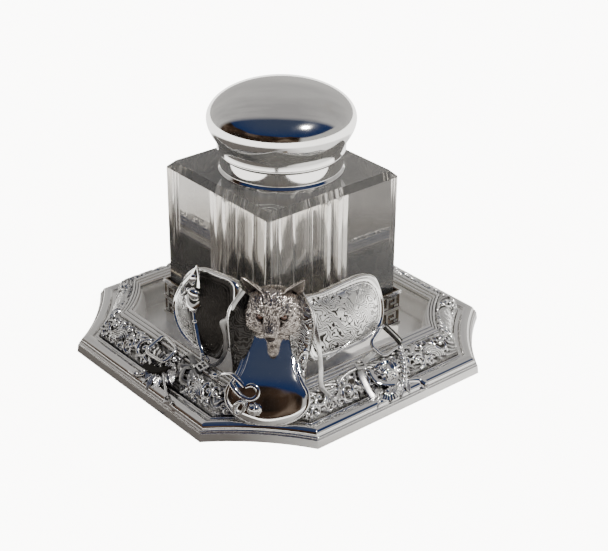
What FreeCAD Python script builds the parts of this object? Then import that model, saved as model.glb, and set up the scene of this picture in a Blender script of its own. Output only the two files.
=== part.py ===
import FreeCAD, Part
import math
import os

# Inkwell: a square glass bottle with a hinged lid, standing in a low gallery on a chased base.
# All sizes are millimetres. +Z is up, the origin is the centre of the underside, and -Y is the front,
# where the fox mask looks out. The bottle's corners and the base's cut corners lie on the X and Y axes.

GLASS_SIDE = 66.0          # width of the square bottle
BASE_FLAT = 73.4           # centre to a long straight side of the base, at the foot
CORNER_REACH = 8.3         # extra distance from the centre to a cut corner
FLOOR_TOP = 4.0            # height of the sunken floor the bottle stands on
BANK_TOP = 14.0            # height of the chased bank's inner edge
GLASS_TOP = 77.3           # height of the bottle's flat top
SEAM = 85.4                # height of the joint between collar and lid
LID_TOP = 111.6            # height of the dome's crown
COLLAR_RADIUS = 24.2       # outside of the neck collar

CORNER_SAG = 0.052         # inward bow of a cut corner, as a share of its length
SHEET = 1.2                # thickness of the silver sheet
PAD = 0.8                  # baize pad thickness
BOARD_TOP = FLOOR_TOP - 1.0
GALLERY_BOTTOM = 8.4
GALLERY_TOP = 24.3
GALLERY_OUT = GLASS_SIDE / 2 + 1.8
GALLERY_IN = GLASS_SIDE / 2 + 0.6
PIN_RADIUS = 0.9
PIN_FIT = 0.05             # radial clearance of the hinge pin
HALF_SEAM = 0.02           # lid and collar stop this far short of the seam, so they never touch
ROOT2 = math.sqrt(2)
Z = FreeCAD.Vector(0, 0, 1)


def vec(x, y, z):
    return FreeCAD.Vector(x, y, z)


def save(name, shape):
    """Write one sub-part, after checking that each of its solids is sound."""
    for solid in shape.Solids:
        if not solid.isValid() or solid.Volume <= 0:
            raise ValueError(name + " is not a sound solid")
    shape.exportStep("parts/" + name + ".step")


def spun(x, y, z, quarter):
    """A point turned by a number of right angles about the upright axis."""
    angle = math.pi / 2 * quarter
    return vec(x * math.cos(angle) - y * math.sin(angle), x * math.sin(angle) + y * math.cos(angle), z)


# ---------------------------------------------------------------- outlines and solids

def base_wire(flat, z):
    """Base outline at one height: four straight sides and four cut corners that bow inwards."""
    reach = flat + CORNER_REACH
    half = flat * ROOT2 - reach
    bow = reach - CORNER_SAG * 2 * half
    edges = []
    for quarter in range(4):
        start = spun(reach, -half, z, quarter)
        end = spun(reach, half, z, quarter)
        edges.append(Part.Arc(start, spun(bow, 0, z, quarter), end).toShape())
        edges.append(Part.makeLine(end, spun(reach, -half, z, quarter + 1)))
    return Part.Wire(edges)


def stack(profile):
    """Solid through base outlines given as (flat distance, height) pairs."""
    return Part.makeLoft([base_wire(flat, z) for flat, z in profile], True, True)


def arc_steps(flat, z, radius, first, last, count):
    """Points on a round moulding, as (flat distance, height) pairs; angles in degrees from outwards."""
    points = []
    for step in range(count + 1):
        angle = math.radians(first + (last - first) * step / count)
        points.append((flat + radius * math.cos(angle), z + radius * math.sin(angle)))
    return points


def square_ring(outer, inner, bottom, height):
    """Square tube whose corners lie on the X and Y axes."""
    wide = Part.makeBox(2 * outer, 2 * outer, height, vec(-outer, -outer, bottom))
    hole = Part.makeBox(2 * inner, 2 * inner, height, vec(-inner, -inner, bottom))
    ring = wide.cut(hole)
    ring.rotate(vec(0, 0, 0), Z, 45)
    return ring


def turned(points):
    """Solid of revolution from a closed outline of (radius, height) pairs."""
    outline = [vec(radius, 0, z) for radius, z in points]
    face = Part.Face(Part.makePolygon(outline + outline[:1]))
    return face.revolve(vec(0, 0, 0), Z, 360)


def oval(centre, across, rise):
    """Closed smooth loop with half axes given as two vectors."""
    count = 12
    points = []
    for step in range(count):
        angle = 2 * math.pi * step / count
        points.append(centre + across * math.cos(angle) + rise * math.sin(angle))
    curve = Part.BSplineCurve()
    curve.interpolate(Points=points, PeriodicFlag=True)
    return Part.Wire(curve.toShape())


def cord(points, radius):
    """Round bar of even thickness through a row of points."""
    curve = Part.BSplineCurve()
    curve.interpolate(points)
    path = Part.Wire(curve.toShape())
    start = curve.tangent(curve.FirstParameter)[0]
    loop = Part.Wire(Part.makeCircle(radius, points[0], start))
    return path.makePipeShell([loop], True, False)


def horn_bar(points, first_radius, last_radius):
    """Round bar through a row of points that swells from one end to the other."""
    curve = Part.BSplineCurve()
    curve.interpolate(points)
    count = 8
    loops = []
    for step in range(count + 1):
        share = step / count
        here = curve.FirstParameter + (curve.LastParameter - curve.FirstParameter) * share
        radius = first_radius + (last_radius - first_radius) * share ** 2
        loops.append(Part.Wire(Part.makeCircle(radius, curve.value(here), curve.tangent(here)[0])))
    return Part.makeLoft(loops, True, False)


def seed(centre, direction, half_length, half_width):
    """Smooth body like a plum stone, with its long axis along a direction and small flat tips."""
    ahead = vec(direction.x, direction.y, direction.z).normalize()
    count = 8
    loops = []
    for step in range(count + 1):
        angle = math.radians(12 + 156 * step / count)
        place = centre - ahead * (half_length * math.cos(angle))
        loops.append(Part.Wire(Part.makeCircle(half_width * math.sin(angle), place, ahead)))
    return Part.makeLoft(loops, True, False)


def largest(shape):
    return max(shape.Solids, key=lambda solid: solid.Volume)


def front_point(side, along, out, z):
    """A point by a front side of the base: side is 1 for right and -1 for left.

    out is the distance from the centre square to that side, and along runs from its middle to the rear.
    """
    return vec(side * (out + along) / ROOT2, (along - out) / ROOT2, z)


# ---------------------------------------------------------------- base

BANK_OUT = 64.4            # flat distance of the bank's outer edge
BANK_IN = 56.6             # flat distance of its inner edge
BANK_FOOT = 5.3            # height of its outer edge
FRAME_IN = 50.4            # inner edge of the reeded frame
FLOOR_OUT = 42.0           # where the hollow's curve meets the floor
FOOT_IN = 69.2
FOOT_TOP = 3.6


def foot_band():
    outer = stack([(BASE_FLAT, 0), (BASE_FLAT - 0.5, FOOT_TOP)])
    return outer.cut(stack([(FOOT_IN, -1), (FOOT_IN, FOOT_TOP + 1)]))


def border_profile():
    """Bead, hollow and fat round, as (flat distance, height) pairs from the foot inwards."""
    points = [(BASE_FLAT - 0.9, FOOT_TOP)]
    points += arc_steps(BASE_FLAT - 1.5, FOOT_TOP + 0.45, 0.6, -30, 120, 4)
    points += [(BASE_FLAT - 2.6, FOOT_TOP + 0.4), (BASE_FLAT - 4.2, FOOT_TOP + 0.6)]
    points += arc_steps(BASE_FLAT - 6.4, FOOT_TOP + 1.0, 2.1, 0, 150, 6)
    return points + [(BANK_OUT, BANK_FOOT)]


def border_moulding():
    return stack(border_profile()).cut(stack([(BANK_OUT, -1), (BANK_OUT, BANK_FOOT + 5)]))


def bank_profile(drop):
    """Cushion-shaped slope from the border up to the reeded frame, drop mm below the face."""
    count = 5
    points = []
    for step in range(count + 1):
        angle = math.radians(90 * step / count)
        flat = BANK_IN + (BANK_OUT - BANK_IN) * math.cos(angle) - drop
        rise = (BANK_TOP - BANK_FOOT) * math.sin(angle)
        points.append((flat, BANK_FOOT + rise - drop * math.sin(angle)))
    return points


def relief_bank():
    outer = stack(bank_profile(0))
    lining = bank_profile(SHEET)
    hollow = stack([(lining[0][0], BANK_FOOT - 1)] + lining)
    inside = stack([(BANK_IN - 0.02, 0), (BANK_IN - 0.02, 30)])
    return outer.cut(hollow).cut(inside)


def reeded_frame():
    """Flat frame with three reeds, between the chased bank and the sunken well."""
    reeds = 3
    edge = BANK_IN - 0.02
    radius = (edge - FRAME_IN) / reeds / 2
    profile = [(edge, BANK_TOP - SHEET), (edge, BANK_TOP)]
    for reed in range(reeds):
        profile += arc_steps(edge - radius * (2 * reed + 1), BANK_TOP, radius, 0, 180, 6)[1:]
    return stack(profile).cut(stack([(FRAME_IN, 0), (FRAME_IN, 40)]))


def well_tray():
    """Polished hollow that sweeps from the reeded frame down to the flat floor."""
    count = 6
    rim = BANK_TOP - SHEET
    face = []
    back = [(FLOOR_OUT + SHEET, BOARD_TOP)]
    for step in range(count + 1):
        angle = math.radians(90 * step / count)
        flat = FLOOR_OUT + (FRAME_IN - FLOOR_OUT) * (1 - math.cos(angle))
        z = FLOOR_TOP + (rim - FLOOR_TOP) * math.sin(angle)
        face.append((flat, z))
        back.append((flat + SHEET + 0.5, z - SHEET * 0.2))
    back[-1] = (FRAME_IN + SHEET, rim)
    lip = stack([(BANK_IN - 0.04, rim - SHEET), (BANK_IN - 0.04, rim)])
    return stack(back).fuse(lip).cut(stack(face + [(FRAME_IN, rim + 5)]))


def base_board():
    return stack([(FOOT_IN - 0.1, PAD + 0.02), (FOOT_IN - 0.1, BOARD_TOP - 0.01)])


def baize_pad():
    return stack([(FOOT_IN - 0.4, 0), (FOOT_IN - 0.4, PAD)])


LUG_OUT = 60.0             # flat distance of the screw lugs


def on_each_side(make):
    """One compound of four copies of a piece, one by the middle of each long side."""
    copies = []
    for quarter in range(4):
        piece = make(vec(LUG_OUT, 0, 0))
        piece.rotate(vec(0, 0, 0), Z, 45 + 90 * quarter)
        copies.append(piece)
    return Part.makeCompound(copies)


def screw_lugs():
    def lug(place):
        block = Part.makeBox(5, 8, 2.6, place + vec(-2.5, -4, BOARD_TOP))
        return block.cut(Part.makeCylinder(1.0, 2.6, place + vec(0, 0, BOARD_TOP)))
    return on_each_side(lug)


def board_screws():
    def screw(place):
        head = Part.makeCone(2.0, 1.0, 1.0, place + vec(0, 0, PAD + 0.05))
        return head.fuse(Part.makeCylinder(0.98, 3.6, place + vec(0, 0, PAD + 1.05)))
    return on_each_side(screw)


def board_with_screw_holes():
    return base_board().cut(board_screws())


# ---------------------------------------------------------------- gallery

RAIL = 1.5                 # height of the gallery's rails
RAIL_PROUD = 0.5           # how far a rail stands out from the wall


def gallery_wall():
    return square_ring(GALLERY_OUT - RAIL_PROUD, GALLERY_IN, GALLERY_BOTTOM, GALLERY_TOP - GALLERY_BOTTOM)


def gallery_rail(bottom):
    return square_ring(GALLERY_OUT, GALLERY_OUT - RAIL_PROUD, bottom, RAIL)


def gallery_plinth():
    """Plain lower wall that carries the gallery above the sunken floor."""
    return square_ring(GALLERY_OUT - RAIL_PROUD, GALLERY_IN, FLOOR_TOP, GALLERY_BOTTOM - FLOOR_TOP)


def fret_key(tier_bottom, tier_height, pitch):
    """One meander of the key pattern, drawn in the X-Z plane with its back at y = 0."""
    bar = pitch * 0.14
    deep = RAIL_PROUD * 0.8
    left, right = bar, pitch - bar
    low, high = tier_bottom, tier_bottom + tier_height
    middle = (low + high) / 2
    strokes = [(0, low, left + bar, bar), (left, low, bar, high - low), (left, high - bar, right - left, bar),
               (right - bar, middle - bar, bar, high - middle + bar), (left + 2 * bar, middle - bar,
                right - left - 2 * bar, bar), (right - bar, low, bar, bar), (right - bar, low, 2 * bar, bar)]
    shape = None
    for x, z, wide, tall in strokes:
        box = Part.makeBox(wide, deep, tall, vec(x, -deep, z))
        shape = box if shape is None else shape.fuse(box)
    return shape


def gallery_fret():
    """Greek key bars on the outside of the gallery, in two tiers on each of the four faces."""
    count = 9
    face = GALLERY_OUT - RAIL_PROUD
    pitch = 2 * (face - 1.0) / count
    tier = (GALLERY_TOP - GALLERY_BOTTOM - 3 * RAIL) / 2
    strips = []
    for bottom in (GALLERY_BOTTOM + RAIL, GALLERY_BOTTOM + 2 * RAIL + tier):
        for number in range(count):
            key = fret_key(bottom + 0.3, tier - 0.6, pitch)
            key.translate(vec(-face + 1.0 + number * pitch, -face, 0))
            strips.append(key)
    keys = []
    for quarter in range(4):
        for strip in strips:
            copy = strip.copy()
            copy.rotate(vec(0, 0, 0), Z, 45 + 90 * quarter)
            keys.append(copy)
    return Part.makeCompound(keys)


# ---------------------------------------------------------------- bottle and lid

NECK_RADIUS = 20.4
BORE_RADIUS = 16.5
WELL_RADIUS = 18.0
WELL_BOTTOM = 20.0
FLUTES = 12
NECK_TOP = SEAM - 1.6


def glass_block():
    """Square block with cut edges; its corners point along the X and Y axes."""
    half = GLASS_SIDE / 2
    side_cut = 1.0
    top_cut = 2.5
    foot_cut = 1.0

    def outline(size, z):
        corner = size - side_cut
        points = []
        for quarter in range(4):
            points.append(spun(size, -corner, z, quarter))
            points.append(spun(size, corner, z, quarter))
        return Part.makePolygon(points + points[:1])

    levels = [(half - foot_cut, FLOOR_TOP), (half, FLOOR_TOP + foot_cut), (half, GLASS_TOP - top_cut),
              (half - top_cut, GLASS_TOP)]
    block = Part.makeLoft([outline(size, z) for size, z in levels], True, True)
    block.rotate(vec(0, 0, 0), Z, 45)
    return block


def glass_bottle():
    body = glass_block().fuse(Part.makeCylinder(NECK_RADIUS, NECK_TOP - GLASS_TOP, vec(0, 0, GLASS_TOP)))
    well = Part.makeCylinder(WELL_RADIUS, GLASS_TOP - 6 - WELL_BOTTOM, vec(0, 0, WELL_BOTTOM))
    flute_radius = WELL_RADIUS * math.sin(math.pi / FLUTES) * 1.02
    for flute in range(FLUTES):
        place = spun(WELL_RADIUS * math.cos(math.pi / FLUTES), 0, WELL_BOTTOM, flute * 4 / FLUTES)
        well = well.fuse(Part.makeCylinder(flute_radius, GLASS_TOP - 6 - WELL_BOTTOM, place))
    well = well.fuse(Part.makeCylinder(BORE_RADIUS, 40, vec(0, 0, GLASS_TOP - 20)))
    return body.cut(well)


def neck_collar():
    """Silver mount round the glass neck, with a flared foot and a rolled rim."""
    inner = NECK_RADIUS + 0.5
    rim = COLLAR_RADIUS + 0.7
    foot = [(inner, GLASS_TOP), (COLLAR_RADIUS + 1.0, GLASS_TOP), (COLLAR_RADIUS + 0.9, GLASS_TOP + 0.5)]
    wall = [(COLLAR_RADIUS, GLASS_TOP + 1.3), (COLLAR_RADIUS, SEAM - 1.0)]
    mouth = [(rim, SEAM - 0.6), (rim, SEAM - HALF_SEAM), (inner, SEAM - HALF_SEAM)]
    return turned(foot + wall + mouth)


def collar_cement():
    return turned([(NECK_RADIUS, GLASS_TOP), (NECK_RADIUS + 0.5, GLASS_TOP), (NECK_RADIUS + 0.5, NECK_TOP),
                   (NECK_RADIUS, NECK_TOP)])


BEZEL_TOP = SEAM + 3.6
LID_RADIUS = 29.3
BULGE_Z = 98.0
LID_FOOT = COLLAR_RADIUS + 0.9


def dome_outline(inset):
    """Side of the lid from its foot to its crown, as (radius, height) pairs, inset from the face."""
    points = []
    swell = 8
    for step in range(swell + 1):
        share = step / swell
        radius = LID_FOOT + (LID_RADIUS - LID_FOOT) * math.sin(math.pi / 2 * share) ** 0.9
        points.append((radius - inset, BEZEL_TOP + (BULGE_Z - BEZEL_TOP) * share))
    crown = 12
    for step in range(1, crown + 1):
        angle = math.pi / 2 * step / crown
        radius = (LID_RADIUS - inset) * math.cos(angle)
        points.append((max(radius, 0), BULGE_Z + (LID_TOP - BULGE_Z - inset) * math.sin(angle)))
    return points


def lid_dome():
    return turned(dome_outline(0) + dome_outline(SHEET)[::-1])


def lid_bezel():
    """Plain band between the collar's rim and the dome."""
    inner = LID_FOOT - SHEET - 1.2
    foot = SEAM + HALF_SEAM
    return turned([(inner, foot), (LID_FOOT - 0.2, foot), (LID_FOOT + 0.3, SEAM + 0.5),
                   (LID_FOOT + 0.3, BEZEL_TOP - 1.2), (LID_FOOT, BEZEL_TOP), (inner, BEZEL_TOP)])


def lid_liner():
    """Gilt cup inside the lid, which closes the mouth of the bottle."""
    bottom = SEAM + HALF_SEAM
    return turned([(0, bottom + 1.0), (NECK_RADIUS - 2, bottom + 1.0), (NECK_RADIUS, bottom),
                   (LID_FOOT - SHEET - 1.22, bottom), (LID_FOOT - SHEET - 1.22, BEZEL_TOP),
                   (NECK_RADIUS + 1, BEZEL_TOP), (0, BEZEL_TOP + 1.0)])


HINGE_Y = COLLAR_RADIUS + 3.2
HINGE_WIDE = 14.0
KNUCKLE = 1.9


def hinge_leaf(low_side):
    """Leaf and knuckles of the back hinge; the low leaf has the two outer knuckles."""
    third = HINGE_WIDE / 3
    gap = 0.05
    if low_side:
        spans = [(-HINGE_WIDE / 2, third - gap), (HINGE_WIDE / 2 - third + gap, third - gap)]
        base = (SEAM - 5.0, 5.0 - 0.6)
    else:
        spans = [(-third / 2, third)]
        base = (SEAM + 0.6, 3.0)
    shape = None
    for start, wide in spans:
        knuckle = Part.makeCylinder(KNUCKLE, wide, vec(start, HINGE_Y, SEAM), vec(1, 0, 0))
        web = Part.makeBox(wide, HINGE_Y - COLLAR_RADIUS + 1, base[1], vec(start, COLLAR_RADIUS - 1, base[0]))
        piece = knuckle.fuse(web)
        shape = piece if shape is None else shape.fuse(piece)
    if low_side:
        strip = Part.makeBox(HINGE_WIDE, 1.2, 3.4, vec(-HINGE_WIDE / 2, COLLAR_RADIUS, SEAM - 5.0))
        shape = shape.fuse(strip)
    pin_hole = Part.makeCylinder(PIN_RADIUS + PIN_FIT, 40, vec(-20, HINGE_Y, SEAM), vec(1, 0, 0))
    keep_out = Part.makeCylinder(COLLAR_RADIUS if low_side else LID_FOOT + 0.3, 20, vec(0, 0, SEAM - 10))
    return shape.cut(pin_hole).cut(keep_out).cut(neck_collar())


def hinge_pin():
    overhang = 0.6
    start = vec(-HINGE_WIDE / 2 - overhang, HINGE_Y, SEAM)
    return Part.makeCylinder(PIN_RADIUS, HINGE_WIDE + 2 * overhang, start, vec(1, 0, 0))


# ---------------------------------------------------------------- fox mask and saddle

FOX_X = 1.6                # the mask and saddle stand slightly right of the middle
MASK_BACK = -50.0
FLAP_OUT = GALLERY_OUT + 5.4
FLAP_TOP = 44.0
FLAP_LOW = 13.5
FLAP_REAR = 20.5           # how far a flap reaches back along its side
FLAP_FRONT = -26.0         # and how far forwards
FLAP_THICK = 1.5
FLAP_LEAN = 18             # degrees the flaps spread outwards at the bottom


def fox_mask():
    """Fox head looking forwards and slightly down, with pricked ears."""
    back = vec(FOX_X, MASK_BACK, 49.5)
    ahead = vec(0, -0.85, -0.53)
    up = vec(0, -0.53, 0.85)
    side = vec(1, 0, 0)
    skull = [(0, 7.6, 6.8), (3.5, 10.4, 8.4), (8, 9.8, 7.6)]
    muzzle = [(12, 6.6, 5.4), (16, 3.9, 3.8), (20, 2.9, 2.9), (22.5, 1.6, 1.7)]
    loops = [oval(back + ahead * along, side * wide, up * tall) for along, wide, tall in skull + muzzle]
    head = Part.makeLoft(loops, True, False)
    for hand in (-1, 1):
        root = back + ahead * 3 + side * (6.4 * hand) + up * 4.2
        tip = vec(FOX_X + 11.6 * hand, MASK_BACK - 4.5, 57.2)
        rise = tip - root
        loops = []
        for share, wide, deep in ((0, 3.6, 1.9), (0.55, 2.6, 1.2), (1, 0.5, 0.4)):
            across = vec(wide, 0, -hand * wide * 0.6)
            loops.append(oval(root + rise * share, across, vec(0, deep, deep * 0.4)))
        head = head.fuse(Part.makeLoft(loops, True, False))
    return head


def fox_eyes():
    """Two round stones set in the mask."""
    eyes = []
    for hand in (-1, 1):
        eyes.append(Part.makeSphere(1.2, vec(FOX_X + 0.3 + 4.5 * hand, MASK_BACK - 13.0, 44.8)))
    return Part.makeCompound(eyes)


def saddle_seat():
    """Polished seat: narrow under the mask's chin, swelling to the broad cantle at the front edge."""
    stations = [(-52.5, 38, 6.0, 2.6), (-55, 33, 7.6, 3.4), (-60, 27.5, 9.2, 4.6), (-66, 21, 10.3, 4.8),
                (-71, 15.5, 13.5, 4.0), (-74.5, 11.5, 16.2, 2.6), (-76.5, 9.0, 12.0, 1.4)]
    loops = []
    for y, z, wide, thick in stations:
        loops.append(oval(vec(FOX_X, y, z), vec(wide, 0, 0), vec(0, -thick * 0.7, thick * 0.7)))
    return Part.makeLoft(loops, True, False)


def seat_piping():
    """Rolled double edge that runs round the seat's broad end."""
    bars = []
    for offset in (0.0, 1.7):
        points = []
        for step in range(13):
            angle = math.radians(-20 + 220 * step / 12)
            reach = 16.6 - offset
            points.append(vec(FOX_X + reach * math.cos(angle), -66.0 - (10.8 - offset) * math.sin(angle),
                              16.0 - (7.0 - offset) * math.sin(angle)))
        bars.append(cord(points, 0.75))
    return Part.makeCompound(bars)


def saddle_flap(side):
    """Broad side flap: a plate along the bottle's front face, with rounded outer corners."""
    top_round = 11.0
    low_round = 15.0
    straight = FLAP_REAR - low_round
    low = FLAP_LOW + low_round
    slant = math.sqrt(0.5)
    along_in = vec(FLAP_FRONT, 0, FLAP_LOW)
    edges = [
        Part.makeLine(along_in, vec(straight, 0, FLAP_LOW)),
        Part.Arc(vec(straight, 0, FLAP_LOW), vec(straight + low_round * slant, 0, low - low_round * slant),
                 vec(FLAP_REAR, 0, low)).toShape(),
        Part.makeLine(vec(FLAP_REAR, 0, low), vec(FLAP_REAR, 0, FLAP_TOP - top_round)),
        Part.Arc(vec(FLAP_REAR, 0, FLAP_TOP - top_round),
                 vec(FLAP_REAR - top_round * (1 - slant), 0, FLAP_TOP - top_round * (1 - slant)),
                 vec(FLAP_REAR - top_round, 0, FLAP_TOP)).toShape(),
        Part.makeLine(vec(FLAP_REAR - top_round, 0, FLAP_TOP), vec(FLAP_FRONT, 0, FLAP_TOP)),
        Part.makeLine(vec(FLAP_FRONT, 0, FLAP_TOP), along_in)]
    plate = Part.Face(Part.Wire(edges)).extrude(vec(0, -FLAP_THICK, 0))
    plate.translate(vec(0, -FLAP_OUT, 0))
    plate.rotate(vec(0, -FLAP_OUT, FLAP_TOP), vec(1, 0, 0), -FLAP_LEAN)
    if side < 0:
        plate = plate.mirror(vec(0, 0, 0), vec(1, 0, 0))
    plate.rotate(vec(0, 0, 0), Z, 45 * side)
    return plate


def saddle_skirt(side):
    """Small shaped panel between the seat and the flap."""
    top = vec(FOX_X + side * 9.5, -55.5, 41)
    loops = []
    for share, wide in ((0, 2.0), (0.3, 5.0), (0.65, 4.6), (1, 1.6)):
        centre = top + vec(side * (3.4 * share + 2.0), -5.5 * share, -24 * share)
        loops.append(oval(centre, vec(wide, -0.5 * side * wide, 0), vec(0.3 * side, 0.7, 0.25)))
    return Part.makeLoft(loops, True, False)


def beside(side, *places):
    """Points given as (along, out, height) beside one front side of the base."""
    return [front_point(side, *place) for place in places]


def stirrup_leather(side):
    """Strap that hangs from under the mask, over the skirt, and out towards its iron."""
    if side > 0:
        hanging = [vec(18.0, -57.5, 42.5), vec(20.4, -62.5, 33), vec(21.3, -63.5, 24), vec(21.7, -64.5, 17.5)]
        lying = beside(1, (-26.4, 64.0, 12.6), (-20.6, 59.8, 14.2), (-10.5, 58.6, 15.4), (1.0, 55.6, 17.0))
    else:
        hanging = [vec(-8.0, -56.5, 50.5), vec(-13.8, -58.5, 41), vec(-15.0, -58.5, 32),
                   vec(-15.4, -57.5, 25.2)]
        lying = beside(-1, (-24.0, 50.9, 17.8), (-17.8, 57.3, 15.2))
    return cord(hanging + lying, 0.9)


def stirrup_iron(corners):
    """Shield-shaped iron: a bent wire loop whose last side is a broad flat tread."""
    wire_radius = 0.8
    iron = None
    for start, end in zip(corners, corners[1:] + corners[:1]):
        bar = Part.makeCylinder(wire_radius, (end - start).Length, start, end - start)
        bar = bar.fuse(Part.makeSphere(wire_radius, start))
        iron = bar if iron is None else iron.fuse(bar)
    first, last = corners[0], corners[-1]
    tread = Part.makeBox(3.4, 0.9, (last - first).Length, vec(-1.7, -0.45, 0))
    turn = FreeCAD.Rotation(Z, last - first)
    tread.Placement = FreeCAD.Placement(first, turn)
    return iron.fuse(tread)


def stirrup_left():
    corners = beside(-1, (7.6, 63.0, 12.3), (7.1, 53.9, 16.8), (-4.6, 55.9, 16.3), (-4.9, 62.8, 12.8))
    return stirrup_iron(corners)


def stirrup_right():
    corners = beside(1, (8.8, 51.7, 25.0), (1.0, 53.2, 19.6), (3.8, 58.3, 15.6), (15.0, 56.5, 16.8))
    return stirrup_iron(corners)


def stirrup_buckles():
    """Square strap buckles, one by each iron."""
    buckles = []
    for side, place in ((-1, (-21.2, 56.2, 16.0)), (1, (-8.6, 58.2, 16.0))):
        frame = Part.makeBox(4.4, 4.4, 1.2, vec(-2.2, -2.2, 0))
        frame = frame.cut(Part.makeBox(2.4, 2.4, 2, vec(-1.2, -1.2, -0.4)))
        frame.rotate(vec(0, 0, 0), Z, 45)
        frame.translate(front_point(side, *place))
        buckles.append(frame)
    return Part.makeCompound(buckles)


# ---------------------------------------------------------------- hunting ornaments on the bank

def riding_crop():
    """Crop that lies down the left flap, handle up."""
    points = beside(-1, (-4.6, 47.2, 33.0), (-8.4, 49.5, 27.4), (-13.4, 51.6, 21.2), (-18.6, 53.0, 17.6))
    return cord(points, 0.8)


def hunting_cap():
    """Round cap with a tall peak that hangs on the outer corner of the left flap."""
    crown = seed(front_point(-1, -4.6, 46.6, 37.4), Z, 4.2, 3.0)
    peak = Part.makeCone(2.0, 0.3, 9.0, front_point(-1, -3.6, 46.0, 39.6))
    return crown.fuse(peak)


def crop_hook():
    """Short crop with a round knob, lying across the right flap."""
    bar = cord(beside(1, (-19.0, 50.2, 19.0), (-9.8, 50.0, 21.0), (2.2, 48.6, 25.6)), 0.6)
    return bar.fuse(Part.makeSphere(1.2, front_point(1, 2.2, 48.6, 25.6)))


def hunting_horn():
    """Curved horn with an open bell that turns down over the border of the right bank."""
    points = beside(1, (-2.0, 66.4, 10.2), (3.0, 68.0, 9.2), (8.2, 69.0, 8.2), (13.0, 70.2, 7.4))
    horn = horn_bar(points, 0.8, 2.4)
    return horn.cut(Part.makeSphere(1.6, points[-1]))


def jockey_cap():
    """Soft round cap on the right bank."""
    return seed(front_point(1, 1.6, 62.6, 12.4), front_point(1, 1, 0, 0), 5.6, 3.8)


def shell_cup():
    """Shell ornament low on the right bank."""
    return seed(front_point(1, -3.2, 70.0, 7.0), front_point(1, 1, 0.4, 0), 4.0, 2.2)


def whip_handle():
    """Whip stock that lies down the left bank and ends in an eyelet on the border."""
    points = beside(-1, (0.0, 60.6, 11.8), (-6.5, 64.4, 11.2), (-13.0, 68.2, 9.4), (-21.4, 72.0, 7.4))
    return cord(points, 0.9)


def whip_thong():
    """Lash that curls over the seat's edge and ends in a loop."""
    points = [vec(-18.6, -61.0, 16.6), vec(-15.2, -65.5, 20.2), vec(-8.9, -70.6, 21.4),
              vec(-6.2, -71.6, 19.0), vec(-3.4, -72.0, 20.0), vec(-1.2, -72.8, 18.8),
              vec(-3.8, -74.8, 15.6), vec(-7.3, -74.4, 16.6),
              vec(-11.0, -71.4, 20.0)]
    return cord(points, 0.7)


def whip_ferrule():
    """Small barrel and ring at the lash's end."""
    barrel = Part.makeCylinder(2.0, 4.8, vec(-4.3, -77.8, 13.4), vec(1, 0, 0.1))
    return barrel.fuse(Part.makeTorus(2.3, 0.7, vec(-7.7, -77.4, 13.6), vec(0.2, 1, 0.1)))


def leaf_spray(side):
    """Curled stem with leaves, soldered along the outer edge of the bank."""
    stem = beside(side, (-12, 67.0, 8.8), (0, 68.0, 8.4), (12, 70.5, 6.9))
    spray = cord(stem, 0.8)
    for number in range(4):
        for hand in (-1, 1):
            leaf = front_point(side, -9.0 + 5.4 * number, 68.0 + 2.0 * hand, 8.2 - 0.8 * hand)
            spray = spray.fuse(seed(leaf, front_point(side, 1, 0.8 * hand, 0), 2.7, 1.2))
    return spray


STUD_RADIUS = 1.2
STUD_LOW = 8.2
STUD_TOP = 17.5


def stud_places():
    return [vec(FOX_X - 5.5, -66.5, 0), vec(FOX_X + 5.5, -66.5, 0)]


def mounting_studs():
    return Part.makeCompound([Part.makeCylinder(STUD_RADIUS, STUD_TOP - STUD_LOW, place + vec(0, 0, STUD_LOW))
                              for place in stud_places()])


def mounting_nuts():
    nuts = []
    for place in stud_places():
        corners = []
        for step in range(7):
            angle = math.pi / 3 * step
            corners.append(place + vec(2.3 * math.cos(angle), 2.3 * math.sin(angle), STUD_LOW + 0.8))
        nut = Part.Face(Part.makePolygon(corners)).extrude(vec(0, 0, 1.7))
        nuts.append(nut.cut(Part.makeCylinder(STUD_RADIUS, 4, place + vec(0, 0, STUD_LOW))))
    return Part.makeCompound(nuts)


def filled_base():
    """Everything below the face of the base, used to trim the ornaments that are soldered onto it."""
    foot = [(BASE_FLAT, 0), (BASE_FLAT - 0.5, FOOT_TOP)]
    frame = [(BANK_IN - 0.02, BANK_TOP), (BANK_IN - 0.4, BANK_TOP + 0.9), (FRAME_IN + 0.4, BANK_TOP + 1.0)]
    return stack(foot + border_profile()[1:] + bank_profile(0)[1:-1] + frame)


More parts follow.
